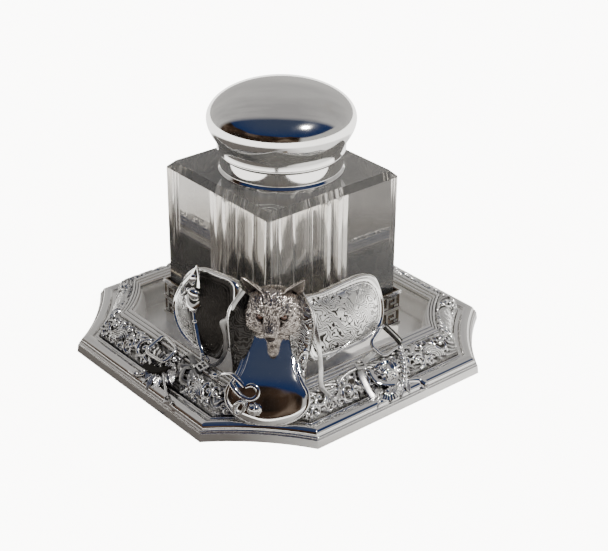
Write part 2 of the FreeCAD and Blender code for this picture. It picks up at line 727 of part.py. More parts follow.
def main():
    os.makedirs("parts", exist_ok=True)
    studs = mounting_studs()
    base = filled_base()

    save("foot_band", foot_band())
    save("border_moulding", border_moulding())
    save("relief_bank", relief_bank().cut(studs))
    save("reeded_frame", reeded_frame())
    save("well_tray", well_tray())
    save("base_board", board_with_screw_holes())
    save("baize_pad", baize_pad())
    save("screw_lugs", screw_lugs())
    save("board_screws", board_screws())
    save("mounting_studs", studs)
    save("mounting_nuts", mounting_nuts())

    save("gallery_wall", gallery_wall())
    save("gallery_top_rail", gallery_rail(GALLERY_TOP - RAIL))
    save("gallery_mid_rail", gallery_rail((GALLERY_TOP + GALLERY_BOTTOM - RAIL) / 2))
    save("gallery_foot_rail", gallery_rail(GALLERY_BOTTOM))
    save("gallery_plinth", gallery_plinth())
    save("gallery_fret", gallery_fret())

    save("glass_bottle", glass_bottle())
    save("neck_collar", neck_collar())
    save("collar_cement", collar_cement())
    save("hinge_leaf_lower", hinge_leaf(True))
    save("hinge_leaf_upper", hinge_leaf(False))
    save("hinge_pin", hinge_pin())
    save("lid_dome", lid_dome())
    save("lid_bezel", lid_bezel())
    save("lid_liner", lid_liner())

    seat = saddle_seat()
    eyes = fox_eyes()
    save("saddle_seat", seat.cut(studs))
    save("seat_piping", seat_piping())
    save("fox_mask", largest(fox_mask().cut(eyes).cut(seat)))
    save("fox_eyes", eyes)
    save("saddle_flap_left", saddle_flap(-1))
    save("saddle_flap_right", saddle_flap(1))
    save("saddle_skirt_left", saddle_skirt(-1))
    save("saddle_skirt_right", saddle_skirt(1))

    ornaments = {
        "stirrup_leather_left": stirrup_leather(-1),
        "stirrup_leather_right": stirrup_leather(1),
        "stirrup_left": stirrup_left(),
        "stirrup_right": stirrup_right(),
        "hunting_horn": hunting_horn(),
        "jockey_cap": jockey_cap(),
        "shell_cup": shell_cup(),
        "whip_handle": whip_handle(),
        "whip_thong": whip_thong(),
        "whip_ferrule": whip_ferrule(),
        "leaf_spray_left": leaf_spray(-1),
        "leaf_spray_right": leaf_spray(1)}
    for name, piece in ornaments.items():
        save(name, largest(piece.cut(base)))
    save("stirrup_buckles", stirrup_buckles())
    save("riding_crop", riding_crop())
    save("hunting_cap", hunting_cap())
    save("crop_hook", crop_hook())


main()
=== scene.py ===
import math
import bpy
import numpy as np
from mathutils import Matrix, Vector


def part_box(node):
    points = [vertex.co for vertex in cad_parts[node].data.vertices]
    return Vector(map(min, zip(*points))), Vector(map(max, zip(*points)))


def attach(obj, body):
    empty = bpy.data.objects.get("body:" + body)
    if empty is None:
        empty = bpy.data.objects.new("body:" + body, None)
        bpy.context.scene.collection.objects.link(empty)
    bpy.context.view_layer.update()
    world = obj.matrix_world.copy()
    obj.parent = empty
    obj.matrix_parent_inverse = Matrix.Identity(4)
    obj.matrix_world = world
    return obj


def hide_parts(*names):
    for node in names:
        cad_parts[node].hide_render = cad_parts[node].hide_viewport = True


# Inkwell with a hinged lid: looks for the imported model. Shapes are worked out in millimetres
# (MM turns them into metres) in the model's own frame: +Z up and -Y the front.

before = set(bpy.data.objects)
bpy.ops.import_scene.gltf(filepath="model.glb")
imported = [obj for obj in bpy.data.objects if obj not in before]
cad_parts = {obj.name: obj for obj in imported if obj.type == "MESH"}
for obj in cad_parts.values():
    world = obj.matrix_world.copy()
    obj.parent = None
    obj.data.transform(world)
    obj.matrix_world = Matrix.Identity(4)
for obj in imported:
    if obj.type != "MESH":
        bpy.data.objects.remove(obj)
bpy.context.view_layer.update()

MM = 0.001
ROOT2 = math.sqrt(2)
TAU = 2 * math.pi


def box_mm(node):
    """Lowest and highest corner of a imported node."""
    low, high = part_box(node)
    return np.array(low) / MM, np.array(high) / MM


# ---------------------------------------------------------------- sizes taken from the frame

FOOT_HIGH = box_mm("foot_band")[1]
BORDER_LOW = box_mm("border_moulding")[0]
BANK_LOW, BANK_HIGH = box_mm("relief_bank")
REED_LOW, REED_HIGH = box_mm("reeded_frame")
GLASS_LOW, GLASS_HIGH = box_mm("glass_bottle")
COLLAR_LOW, COLLAR_HIGH = box_mm("neck_collar")
DOME_HIGH = box_mm("lid_dome")[1]
BEZEL_LOW = box_mm("lid_bezel")[0]

CORNER_REACH = 8.3                          # extra distance from the centre to a cut corner
CORNER_SAG = 0.052                          # inward bow of a cut corner, as a share of its length
BASE_FLAT = FOOT_HIGH[0] - CORNER_REACH     # centre to a long side of the base
BANK_OUT = BANK_HIGH[0] - CORNER_REACH
BANK_IN = REED_HIGH[0] - CORNER_REACH
BANK_FOOT = BANK_LOW[2]
BANK_TOP = BANK_HIGH[2]
FLOOR_TOP = GLASS_LOW[2]
FRAME_IN = 50.4                             # centre to the inner edge of the reeds
CORNER_GROW = 2.2                           # how much less the corners are cut back at that edge
SHEET = 1.2                                 # thickness of the sheet silver
CORNER_CELLS = 90                           # points along a cut corner
SIDE_CELLS = 150                            # points along a long side


# ---------------------------------------------------------------- noise and small maths

def hashed(cell, seed):
    """Repeatable value from 0 to 1 for whole-number grid cells."""
    mixed = np.zeros(cell.shape[:-1], dtype=np.uint32)
    for axis in range(cell.shape[-1]):
        whole = (cell[..., axis].astype(np.int64) & 0xFFFFFFFF).astype(np.uint32)
        mixed ^= whole * np.uint32(2654435761 + 97 * axis)
        mixed = (mixed ^ (mixed >> np.uint32(15))) * np.uint32(2246822519)
    mixed ^= np.uint32(seed * 7919 + 13)
    mixed = (mixed ^ (mixed >> np.uint32(13))) * np.uint32(3266489917)
    return ((mixed ^ (mixed >> np.uint32(16))) & np.uint32(0xFFFFFF)).astype(float) / 0xFFFFFF


def value_noise(points, seed=1):
    """Smooth noise from 0 to 1 at points of any dimension."""
    points = np.asarray(points, float)
    low = np.floor(points)
    part = points - low
    part = part * part * (3 - 2 * part)
    low = low.astype(np.int64)
    dims = points.shape[-1]
    total = np.zeros(points.shape[:-1])
    for corner in range(2 ** dims):
        step = np.array([(corner >> axis) & 1 for axis in range(dims)])
        weight = np.prod(np.where(step == 1, part, 1 - part), axis=-1)
        total += weight * hashed(low + step, seed)
    return total


def smooth(low, high, value):
    """0 below low, 1 above high and a soft step between."""
    share = np.clip((value - low) / (high - low), 0, 1)
    return share * share * (3 - 2 * share)


def hump(value, middle, width):
    """1 at the middle, falling off smoothly on both sides."""
    return np.exp(-((value - middle) / width) ** 2)


def mix(first, second, share):
    """First where share is 0, second where it is 1."""
    return first * (1 - share) + second * share


# ---------------------------------------------------------------- meshes

def add_mesh(name, verts_mm, faces, tone=None, sharp=38):
    """Mesh object; tone is a 0-1 value per vertex, dark in the recesses."""
    mesh = bpy.data.meshes.new(name)
    mesh.from_pydata((np.asarray(verts_mm) * MM).tolist(), [], faces)
    mesh.update()
    mesh.polygons.foreach_set("use_smooth", [True] * len(mesh.polygons))
    if sharp:
        mesh.set_sharp_from_angle(angle=math.radians(sharp))
    if tone is not None:
        layer = mesh.attributes.new("tone", "FLOAT", "POINT")
        layer.data.foreach_set("value", np.asarray(tone, float).ravel())
    piece = bpy.data.objects.new(name, mesh)
    bpy.context.scene.collection.objects.link(piece)
    return piece


def grid_faces(rings, size, closed):
    """Quads between neighbouring rings of size points; closed joins the last ring to the first."""
    ring, point = np.meshgrid(np.arange(rings if closed else rings - 1), np.arange(size), indexing="ij")
    next_ring = (ring + 1) % rings
    next_point = (point + 1) % size
    quads = [ring * size + point, ring * size + next_point, next_ring * size + next_point,
             next_ring * size + point]
    return np.stack(quads, axis=-1).reshape(-1, 4).tolist()


def loft(name, rings, tone=None, sharp=38, flip=False, closed=False):
    """Closed solid through rings of points (rings, points, 3); ends are capped unless closed."""
    rings = np.asarray(rings, float)
    count, size = rings.shape[:2]
    faces = grid_faces(count, size, closed)
    if not closed:
        faces.append(list(range(size))[::-1])
        faces.append([(count - 1) * size + i for i in range(size)])
    if flip:
        faces = [face[::-1] for face in faces]
    return add_mesh(name, rings.reshape(-1, 3), faces, tone, sharp)


def finish_piece(piece, body, look, *nodes):
    """Gives a piece its material and its body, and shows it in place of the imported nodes."""
    material, slot = look
    piece.data.materials.clear()
    piece.data.materials.append(material)
    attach(piece, body)
    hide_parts(*nodes)


def lathe(name, profile, segments=256, **extra):
    """Ring-shaped solid turned from a closed loop of (radius, height) pairs."""
    angles = np.arange(segments) / segments * TAU
    profile = np.asarray(profile, float)
    rings = np.zeros((segments, len(profile), 3))
    rings[..., 0] = np.cos(angles)[:, None] * profile[:, 0]
    rings[..., 1] = np.sin(angles)[:, None] * profile[:, 0]
    rings[..., 2] = profile[:, 1]
    return loft(name, rings, closed=True, **extra)


def round_loop(points, radius, steps=4):
    """Closed outline with its corners rounded; a radius of 0 keeps a corner as it is."""
    points = [np.asarray(p, float) for p in points]
    out = []
    count = len(points)
    for index, here in enumerate(points):
        before = points[index - 1] - here
        after = points[(index + 1) % count] - here
        size = min(radius, 0.45 * np.linalg.norm(before), 0.45 * np.linalg.norm(after))
        start = here + before / np.linalg.norm(before) * size
        end = here + after / np.linalg.norm(after) * size
        for step in range(steps + 1):
            share = step / steps
            out.append((1 - share) ** 2 * start + 2 * share * (1 - share) * here + share ** 2 * end)
    return np.array(out)


def curve_points(points, count, closed=False):
    """Smooth (Catmull-Rom) line through points, evenly split in its parameter."""
    points = np.asarray(points, float)
    size = len(points)
    if closed:
        padded = np.vstack([points[-1:], points, points[:2]])
        spans = size
    else:
        padded = np.vstack([2 * points[:1] - points[1:2], points, 2 * points[-1:] - points[-2:-1]])
        spans = size - 1
    where = np.arange(count) / (count if closed else count - 1) * spans
    span = np.minimum(where.astype(int), spans - 1)
    t = (where - span)[:, None]
    p0, p1, p2, p3 = (padded[span + k] for k in range(4))
    return 0.5 * (2 * p1 + (p2 - p0) * t + (2 * p0 - 5 * p1 + 4 * p2 - p3) * t ** 2
                  + (3 * p1 - p0 - 3 * p2 + p3) * t ** 3)


def frames_along(path, closed=False, up=(0, 0, 1)):
    """Tangent, side and rise of a path, carried along it without twisting."""
    path = np.asarray(path, float)
    if closed:
        tangent = np.roll(path, -1, 0) - np.roll(path, 1, 0)
    else:
        tangent = np.gradient(path, axis=0)
    tangent /= np.linalg.norm(tangent, axis=1)[:, None]
    rise = np.zeros_like(path)
    first = np.asarray(up, float) - tangent[0] * np.dot(up, tangent[0])
    if np.linalg.norm(first) < 1e-3:
        first = np.cross(tangent[0], (1.0, 0.3, 0.2))
    rise[0] = first / np.linalg.norm(first)
    for index in range(1, len(path)):
        turned = rise[index - 1] - tangent[index] * np.dot(rise[index - 1], tangent[index])
        rise[index] = turned / np.linalg.norm(turned)
    return tangent, np.cross(tangent, rise), rise


def strap(name, points, width, thick, samples=60, around=20, up=(0, 0, 1), closed=False, power=2.0, sharp=38):
    """Bar swept along points; width and thick may be functions of the share of length, power squares it."""
    path = curve_points(points, samples, closed)
    tangent, side, rise = frames_along(path, closed, up)
    share = np.linspace(0, 1, samples)
    wide = np.array([width(s) if callable(width) else width for s in share]) / 2
    tall = np.array([thick(s) if callable(thick) else thick for s in share]) / 2
    angle = np.arange(around) / around * TAU
    across = np.sign(np.cos(angle)) * np.abs(np.cos(angle)) ** (2 / power)
    upward = np.sign(np.sin(angle)) * np.abs(np.sin(angle)) ** (2 / power)
    rings = (path[:, None, :] + side[:, None, :] * (wide[:, None] * across)[..., None]
             + rise[:, None, :] * (tall[:, None] * upward)[..., None])
    return loft(name, rings, closed=closed, sharp=sharp)


def join(name, pieces):
    """One object from several, keeping their meshes as they are."""
    bpy.ops.object.select_all(action="DESELECT")
    for piece in pieces:
        piece.select_set(True)
    bpy.context.view_layer.objects.active = pieces[0]
    if len(pieces) > 1:
        bpy.ops.object.join()
    pieces[0].name = name
    pieces[0].data.name = name
    return pieces[0]


# ---------------------------------------------------------------- materials

SILVER = (0.93, 0.92, 0.90)
OXIDE = (0.030, 0.027, 0.024)
FUR_SILVER = (0.45, 0.405, 0.37)
FUR_OXIDE = (0.026, 0.017, 0.013)
SMOKED_SILVER = (0.24, 0.20, 0.155)
HINGE_SILVER = (0.86, 0.85, 0.82)
GILT = (0.90, 0.70, 0.34)
TARNISH = (0.93, 0.90, 0.85)     # what is left of each colour where silver has dulled
CUT_SPACING = 0.00125            # metres from one engraved cut to the next


def put(tree, socket, value):
    """Links a socket to another node's output, or gives it a plain value."""
    if isinstance(value, bpy.types.NodeSocket):
        tree.links.new(value, socket)
    else:
        socket.default_value = value


def add_node(tree, kind, **values):
    """New shader node: names in small letters are its settings, and the others are its inputs."""
    node = tree.nodes.new("ShaderNode" + kind)
    for key, value in values.items():
        if key.islower():
            setattr(node, key, value)
        else:
            put(tree, node.inputs[key.replace("_", " ")], value)
    return node


def maths(tree, operation, *values):
    """Result of a maths node that works on numbers or on other nodes' outputs."""
    node = add_node(tree, "Math", operation=operation)
    for socket, value in zip(node.inputs, values):
        put(tree, socket, value)
    return node.outputs["Value"]


def noise(tree, **values):
    """Noise pattern with the given inputs."""
    return add_node(tree, "TexNoise", **values).outputs["Fac"]


def remap(tree, value, low, high, first=0.0, last=1.0):
    """Turns low to high into first to last, and holds the value there beyond."""
    node = add_node(tree, "MapRange", Value=value, From_Min=low, From_Max=high, To_Min=first, To_Max=last)
    return node.outputs["Result"]


def ramp(tree, value, *stops):
    """Colour a value picks from (place, colour) stops."""
    node = add_node(tree, "ValToRGB", Fac=value)
    elements = node.color_ramp.elements
    while len(elements) < len(stops):
        elements.new(0.5)
    for element, (place, colour) in zip(elements, stops):
        element.position = place
        element.color = (*colour, 1)
    return node.outputs["Color"]


def stretched(tree, place, scale):
    """Place with its three axes scaled, so that a pattern grows finer or coarser."""
    return add_node(tree, "Mapping", Vector=place, Scale=scale).outputs["Vector"]


def bump(tree, height, strength, distance, **settings):
    """Surface direction that a height pattern seems to give."""
    node = add_node(tree, "Bump", Height=height, Strength=strength, Distance=distance, **settings)
    return node.outputs["Normal"]


def new_material(name):
    """A material, its node tree and the place on the object that its patterns start from."""
    material = bpy.data.materials.new(name)
    material.use_nodes = True
    tree = material.node_tree
    return material, tree, add_node(tree, "TexCoord").outputs["Object"]


def set_surface(tree, **values):
    """Inputs of a material's main shader."""
    shader = tree.nodes["Principled BSDF"]
    for key, value in values.items():
        put(tree, shader.inputs[key.replace("_", " ")], value)


def polished_metal(name, colour, dull=0.05, smear=0.10):
    """Bright silver with faint rubbing marks, soft smears and a little tarnish."""
    material, tree, place = new_material(name)
    smears = noise(tree, Vector=place, Scale=55.0, Detail=5.0, Roughness=0.6)
    rubbed = stretched(tree, place, (1.0, 0.12, 0.5))
    fine = noise(tree, Vector=rubbed, Scale=1500.0, Detail=3.0, Roughness=0.6)
    dulled = tuple(part * fade for part, fade in zip(colour, TARNISH))
    set_surface(tree, Metallic=1.0,
                Base_Color=ramp(tree, smears, (0.30, colour), (0.62, colour), (0.85, dulled)),
                Roughness=remap(tree, smears, 0.42, 0.80, dull, dull + smear),
                Normal=bump(tree, fine, 0.012, 0.0002))
    return material


def chased_metal(name, colour, dark, tone=None):
    """Silver with black oxide in recesses and bright rubbed high spots; tone is on the mesh if not given."""
    material, tree, place = new_material(name)
    if tone is None:
        tone = add_node(tree, "Attribute", attribute_name="tone").outputs["Fac"]
    opened = add_node(tree, "AmbientOcclusion", samples=4, Distance=0.0016).outputs["AO"]
    speckle = noise(tree, Vector=place, Scale=2600.0, Detail=3.0, Roughness=0.7)
    blotch = noise(tree, Vector=place, Scale=140.0, Detail=3.0)
    clean = maths(tree, "MULTIPLY", tone, remap(tree, opened, 0.18, 0.80))
    uneven = maths(tree, "MULTIPLY_ADD", blotch, 0.30, clean)
    shift = maths(tree, "SUBTRACT", uneven, 0.15)
    middle = tuple(mix(low, high, 0.45) for low, high in zip(dark, colour))
    set_surface(tree, Metallic=1.0,
                Base_Color=ramp(tree, shift, (0.05, dark), (0.38, middle), (0.70, colour)),
                Roughness=remap(tree, shift, 0.0, 1.0, 0.50, 0.13),
                Normal=bump(tree, speckle, 0.10, 0.0001))
    return material


def engraved_metal(name, colour, dark):
    """Silver covered with fine flowing cuts; parts whose tone is near 1 stay plain."""
    material, tree, place = new_material(name)
    tone = add_node(tree, "Attribute", attribute_name="tone").outputs["Fac"]
    hills = noise(tree, Vector=place, Scale=190.0, Detail=2.0, Roughness=0.45)
    flow = add_node(tree, "VectorMath", operation="DOT_PRODUCT")
    put(tree, flow.inputs[0], place)
    put(tree, flow.inputs[1], tuple(part * TAU / CUT_SPACING for part in (0.45, 0.20, 0.85)))
    turns = maths(tree, "MULTIPLY_ADD", hills, 10 * TAU, flow.outputs["Value"])
    cuts = remap(tree, maths(tree, "SINE", turns), 0.0, 0.9)
    cut = maths(tree, "MULTIPLY", cuts, remap(tree, tone, 0.93, 0.86))
    blotch = noise(tree, Vector=place, Scale=120.0, Detail=4.0)
    patchy = remap(tree, blotch, 0.3, 0.75, 0.45, 0.85)
    left = maths(tree, "SUBTRACT", tone, maths(tree, "MULTIPLY", cut, patchy))
    set_surface(tree, Metallic=1.0,
                Base_Color=ramp(tree, left, (0.05, dark), (0.75, colour)),
                Roughness=remap(tree, left, 0.2, 1.0, 0.42, 0.10),
                Normal=bump(tree, cut, 0.55, 0.00012, invert=True))
    return material


def clear_glass(name):
    """Slightly smoky crystal: clear at the surface, with a milky painted sheen on upward faces, tinted by its
    thickness.
    """
    material, tree, place = new_material(name)
    rub = noise(tree, Vector=place, Scale=60.0, Detail=5.0)
    # painted light: upward faces let less light through, so their pale base colour lightens the top face
    facing = add_node(tree, "SeparateXYZ", Vector=add_node(tree, "NewGeometry").outputs["Normal"])
    painted_top_sheen = remap(tree, facing.outputs["Z"], 0.5, 0.9, 0.0, 0.08)
    ripple = noise(tree, Vector=place, Scale=35.0, Detail=1.0)
    set_surface(tree, IOR=1.52, Roughness=0.0,
                Base_Color=ramp(tree, rub, (0.35, (0.92, 0.90, 0.87)), (0.70, (0.80, 0.77, 0.72))),
                Transmission_Weight=maths(tree, "SUBTRACT", remap(tree, rub, 0.30, 0.75, 0.985, 0.93), painted_top_sheen),
                Normal=bump(tree, ripple, 0.02, 0.0006))
    smoke = add_node(tree, "VolumeAbsorption", Density=8.0, Color=(0.56, 0.53, 0.48, 1))
    put(tree, tree.nodes["Material Output"].inputs["Volume"], smoke.outputs["Volume"])
    return material


def mottled(name, first, second, scale, rough, metal=0.0, depth=0.0002):
    """Simple mottled surface between two colours."""
    material, tree, place = new_material(name)
    mottle = noise(tree, Vector=place, Scale=scale, Detail=6.0, Roughness=0.65)
    set_surface(tree, Metallic=metal, Roughness=rough,
                Base_Color=ramp(tree, mottle, (0.35, first), (0.65, second)),
                Normal=bump(tree, mottle, 0.5, depth))
    return material


def wood(name):
    """Plain hardwood with grain along X."""
    material, tree, place = new_material(name)
    grain = noise(tree, Vector=stretched(tree, place, (12.0, 260.0, 260.0)), Scale=1.0, Detail=6.0)
    set_surface(tree, Roughness=0.55,
                Base_Color=ramp(tree, grain, (0.3, (0.16, 0.07, 0.03)), (0.7, (0.36, 0.19, 0.09))),
                Normal=bump(tree, grain, 0.3, 0.0001))
    return material


def eye_stone(name):
    """Brown polished stone."""
    material, tree, place = new_material(name)
    cloud = noise(tree, Vector=place, Scale=900.0, Detail=4.0)
    set_surface(tree, Roughness=0.08, Coat_Weight=1.0,
                Base_Color=ramp(tree, cloud, (0.3, (0.040, 0.014, 0.007)), (0.7, (0.12, 0.042, 0.018))))
    return material


def make_materials():
    """Every look by name, each with the slot of the record it stands for."""
    steel = mottled("screw_steel", (0.30, 0.29, 0.28), (0.50, 0.49, 0.47), 700.0, 0.38, metal=1.0)
    baize = mottled("baize", (0.02, 0.09, 0.04), (0.04, 0.16, 0.08), 1800.0, 0.95, depth=0.0005)
    return {
        "polished": (polished_metal("polished_silver", SILVER), "polished_silver"),
        "chased": (chased_metal("chased_silver", SILVER, OXIDE), "chased_silver"),
        "fret": (chased_metal("fret_silver", SILVER, OXIDE, tone=0.95), "chased_silver"),
        "engraved": (engraved_metal("engraved_silver", SILVER, OXIDE), "chased_silver"),
        "fur": (chased_metal("fur_silver", FUR_SILVER, FUR_OXIDE), "chased_silver"),
        "satin": (polished_metal("satin_silver", SILVER, 0.42, 0.12), "polished_silver"),
        "smoked": (polished_metal("smoked_silver", SMOKED_SILVER, 0.22, 0.20), "chased_silver"),
        "hinge": (polished_metal("hinge_silver", HINGE_SILVER, 0.16, 0.12), "hinge_silver"),
        "gilt": (polished_metal("gilt_liner", GILT, 0.10, 0.12), "gilt_liner"),
        "glass": (clear_glass("bottle_glass"), "bottle_glass"),
        "stone": (eye_stone("eye_stone"), "eye_stone"),
        "wood": (wood("board_wood"), "board_wood"),
        "baize": (baize, "baize"),
        "steel": (steel, "screw_steel"),
        "cement": (mottled("cement", (0.62, 0.60, 0.54), (0.78, 0.76, 0.70), 500.0, 0.9), "cement")}


# ---------------------------------------------------------------- base

def base_ring(flat, z, corner_cells=CORNER_CELLS, side_cells=SIDE_CELLS, grow=0.0):
    """Points round the base outline at one flat distance, with matching points for every distance."""
    reach = flat + CORNER_REACH + grow
    half = flat * ROOT2 - reach
    sag = CORNER_SAG * 2 * half
    radius = (half * half + sag * sag) / (2 * sag)
    limit = math.asin(half / radius)
    angles = np.linspace(-limit, limit, corner_cells + 1)[:-1]
    corner = np.stack([reach - sag + radius * (1 - np.cos(angles)), radius * np.sin(angles)], axis=1)
    start = np.array([reach, half])
    end = np.array([half, reach])
    share = np.linspace(0, 1, side_cells + 1)[:-1, None]
    quarter = np.vstack([corner, start + (end - start) * share])
    points = []
    for turn in range(4):
        c, s = round(math.cos(math.pi / 2 * turn)), round(math.sin(math.pi / 2 * turn))
        points.append(quarter @ np.array([[c, s], [-s, c]]))
    flat_points = np.vstack(points)
    return np.column_stack([flat_points, np.full(len(flat_points), z)])


def base_sweep(name, profile, **extra):
    """Ring-shaped solid: a closed loop of (flat distance, height) pairs carried round the base."""
    rings = np.array([base_ring(flat, z) for flat, z in profile])
    return loft(name, rings, closed=True, **extra)


def inner_ring(flat, z):
    """Outline for the parts inside the bank, whose corners are cut back less the further in they are."""
    share = min(max((BANK_IN - flat) / (BANK_IN - FRAME_IN), 0.0), 1.0)
    return base_ring(flat, z, grow=CORNER_GROW * share)


def arc_profile(flat, z, radius, first, last, count=8):
    """Points on a round of a moulding, from the first to the last angle in degrees."""
    angles = np.radians(np.linspace(first, last, count + 1))
    return [(flat + radius * math.cos(a), z + radius * math.sin(a)) for a in angles]


def make_foot(materials):
    """Plain upright foot round the outside."""
    inner = BASE_FLAT - 4.2
    top = FOOT_HIGH[2]
    profile = round_loop([(BASE_FLAT, 0), (BASE_FLAT - 0.5, top), (inner, top), (inner, 0)], 0.35)
    finish_piece(base_sweep("foot", profile), "stand", materials["polished"], "foot_band")


def make_border(materials):
    """Small bead and a fat round between the plain foot and the chased bank."""
    low = BORDER_LOW[2]
    profile = [(BASE_FLAT - 0.9, low)]
    profile += arc_profile(BASE_FLAT - 1.3, low + 0.42, 0.45, -40, 120, 8)
    profile += arc_profile(BASE_FLAT - 4.4, low + 0.7, 2.8, 6, 150, 22)
    profile += arc_profile(BANK_OUT + 1.0, BANK_FOOT + 0.3, 0.55, 20, 160, 6)
    profile += [(BANK_OUT, BANK_FOOT), (BANK_OUT, low)]
    finish_piece(base_sweep("border", profile), "stand", materials["polished"], "border_moulding")


def make_reeds(materials):
    """Three bright reeds with black left in the grooves between them."""
    reeds = 3
    radius = (BANK_IN - FRAME_IN) / reeds / 2
    low = REED_LOW[2]
    level = REED_HIGH[2] - radius
    profile = [(BANK_IN, low), (BANK_IN, level)]
    bright = [0.3, 0.3]
    for reed in range(reeds):
        first = 0 if reed else 8
        profile += arc_profile(BANK_IN - radius * (2 * reed + 1), level, radius, first, 172, 12)
        bright += [math.sin(math.radians(angle)) * 2.2 for angle in np.linspace(first, 172, 13)]
    profile += [(FRAME_IN, low)]
    bright += [0.8]
    rings = np.array([inner_ring(flat, z) for flat, z in profile])
    tone = np.clip(np.array(bright), 0.05, 1)[:, None] + 0 * rings[..., 0]
    finish_piece(loft("reeds", rings, tone=tone, closed=True), "stand", materials["chased"], "reeded_frame")


# ---------------------------------------------------------------- chased relief

RELIEF_CORNER = 170        # cells along a cut corner
RELIEF_SIDE = 370          # cells along a long side
RELIEF_ACROSS = 62         # cells from the outer edge to the inner edge
RELIEF_DEPTH = 0.88        # how far a height of 1 stands out
CORNER_LENGTH = 33.5
SIDE_LENGTH = 73.6
BANK_WIDTH = 12.3
RIDGE_STEP = 0.16          # distance between the dabs of a ridge


class Relief:
    """Height map of one panel: x runs along it from its middle, y from its outer to its inner edge."""

    def __init__(self, length, width, cells_along, cells_across, seed):
        self.x = (np.arange(cells_along) / cells_along - 0.5) * length
        self.y = np.linspace(0, width, cells_across)
        self.height = np.zeros((cells_along, cells_across))
        self.length, self.width = length, width
        self.random = np.random.default_rng(seed)

    def dab(self, x, y, radius, height):
        """One round bump, kept where it is higher than what is there."""
        i0, i1 = np.searchsorted(self.x, (x - radius, x + radius))
        j0, j1 = np.searchsorted(self.y, (y - radius, y + radius))
        if i1 <= i0 or j1 <= j0:
            return
        dx = self.x[i0:i1, None] - x
        dy = self.y[None, j0:j1] - y
        bump = height * np.sqrt(np.clip(1 - (dx * dx + dy * dy) / radius ** 2, 0, 1))
        self.height[i0:i1, j0:j1] = np.maximum(self.height[i0:i1, j0:j1], bump)

    def ridge(self, path, wide, height):
        """Rounded bar along a path; wide and height are functions of the share of its length."""
        path = np.asarray(path, float)
        steps = np.linalg.norm(np.diff(path, axis=0), axis=1)
        length = np.concatenate([[0], np.cumsum(steps)])
        count = max(int(length[-1] / RIDGE_STEP), 3)
        for share in np.linspace(0, 1, count):
            x = np.interp(share * length[-1], length, path[:, 0])
            y = np.interp(share * length[-1], length, path[:, 1])
            self.dab(x, y, wide(share), height(share))

    def leaf(self, x, y, angle, length, wide, height):
        """Pointed lobe that curls slightly to one side."""
        share = np.linspace(0, 1, 8)
        bend = angle + 0.5 * share
        path = np.column_stack([x + length * share * np.cos(bend), y + length * share * np.sin(bend)])
        self.ridge(path, lambda t: wide * (0.25 + math.sin(math.pi * min(t * 0.9 + 0.1, 1)) * 0.75),
                   lambda t: height * (1 - 0.35 * t))

    def scroll(self, x, y, size, start, hand, height=1.0):
        """Spiral stem ending in a ball, with lobes along its outer side."""
        share = np.linspace(0, 1, 26)
        reach = size * (1 - share) ** 0.85 + 0.12 * size
        angle = start + hand * share * 2.1 * math.pi
        path = np.column_stack([x + reach * np.cos(angle), y + reach * np.sin(angle)])
        for lobe in range(5):
            spot = lobe * 3
            turn = angle[spot] - hand * 0.9
            self.leaf(path[spot, 0], path[spot, 1], turn, size * 0.62, size * 0.17, 0.7 * height)
        self.ridge(path, lambda t: 0.13 * size + 0.22, lambda t: height)
        self.dab(path[-1, 0], path[-1, 1], 0.24 * size + 0.15, 1.15 * height)

    def shell(self, x, y, size, angle, ribs=7):
        """Fan of ribs with curled tips."""
        for rib in range(ribs):
            turn = angle + (rib - (ribs - 1) / 2) * 0.33
            run, climb = size * math.cos(turn), size * math.sin(turn)
            self.ridge([(x + run * t, y + climb * t) for t in (0.15, 0.5, 0.8, 1.0)],
                       lambda t: 0.28 + 0.42 * t, lambda t: 0.75 + 0.4 * t)
            self.dab(x + run, y + climb, 0.75, 1.25)
        self.dab(x, y, 1.3, 1.2)

    def arcs(self, x, y, size, hand, count=5):
        """Nested curved bars, like a curled feather."""
        for number in range(count):
            reach = size * (0.30 + 0.70 * number / (count - 1))
            angle = np.linspace(-0.2, 2.3, 14)
            path = np.column_stack([x + hand * reach * np.cos(angle), y + reach * np.sin(angle) * 0.85])
            self.ridge(path, lambda t: 0.42 * (0.5 + math.sin(math.pi * t) * 0.5), lambda t: 1.0)

    def boss(self, x, y, half_x, half_y, height):
        """Low oval dome with a wavy engraved face."""
        dx = (self.x[:, None] - x) / half_x
        dy = (self.y[None, :] - y) / half_y
        far = np.sqrt(dx * dx + dy * dy)
        dome = height * np.sqrt(np.clip(1 - far ** 2, 0, 1))
        warp = value_noise(np.stack([dx * 2.2 + 5 + 0 * dy, dy * 2.2 + 9 + 0 * dx], axis=-1), 5)
        angle = np.arctan2(dy, dx)
        lines = np.sin(far * 15 + angle * 2 + warp * 11)
        dome = np.where(far < 0.93, dome + 0.17 * lines * smooth(0.95, 0.75, far), dome)
        rim = np.exp(-((far - 1.0) / 0.09) ** 2) * 0.7
        self.height = np.maximum(self.height, np.maximum(dome, rim))

    def fill(self, count, small, large):
        """Scatters scrolls where the panel is still bare."""
        for _ in range(count):
            x = self.random.uniform(-0.5, 0.5) * self.length
            y = self.random.uniform(0.16, 0.86) * self.width
            size = self.random.uniform(small, large)
            start = self.random.uniform(0, TAU)
            hand = 1 if self.random.random() < 0.5 else -1
            i = min(np.searchsorted(self.x, x), len(self.x) - 1)
            j = min(np.searchsorted(self.y, y), len(self.y) - 1)
            if self.height[max(i - 6, 0):i + 7, max(j - 6, 0):j + 7].mean() < 0.30:
                self.scroll(x, y, size, start, hand, self.random.uniform(0.7, 1.0))

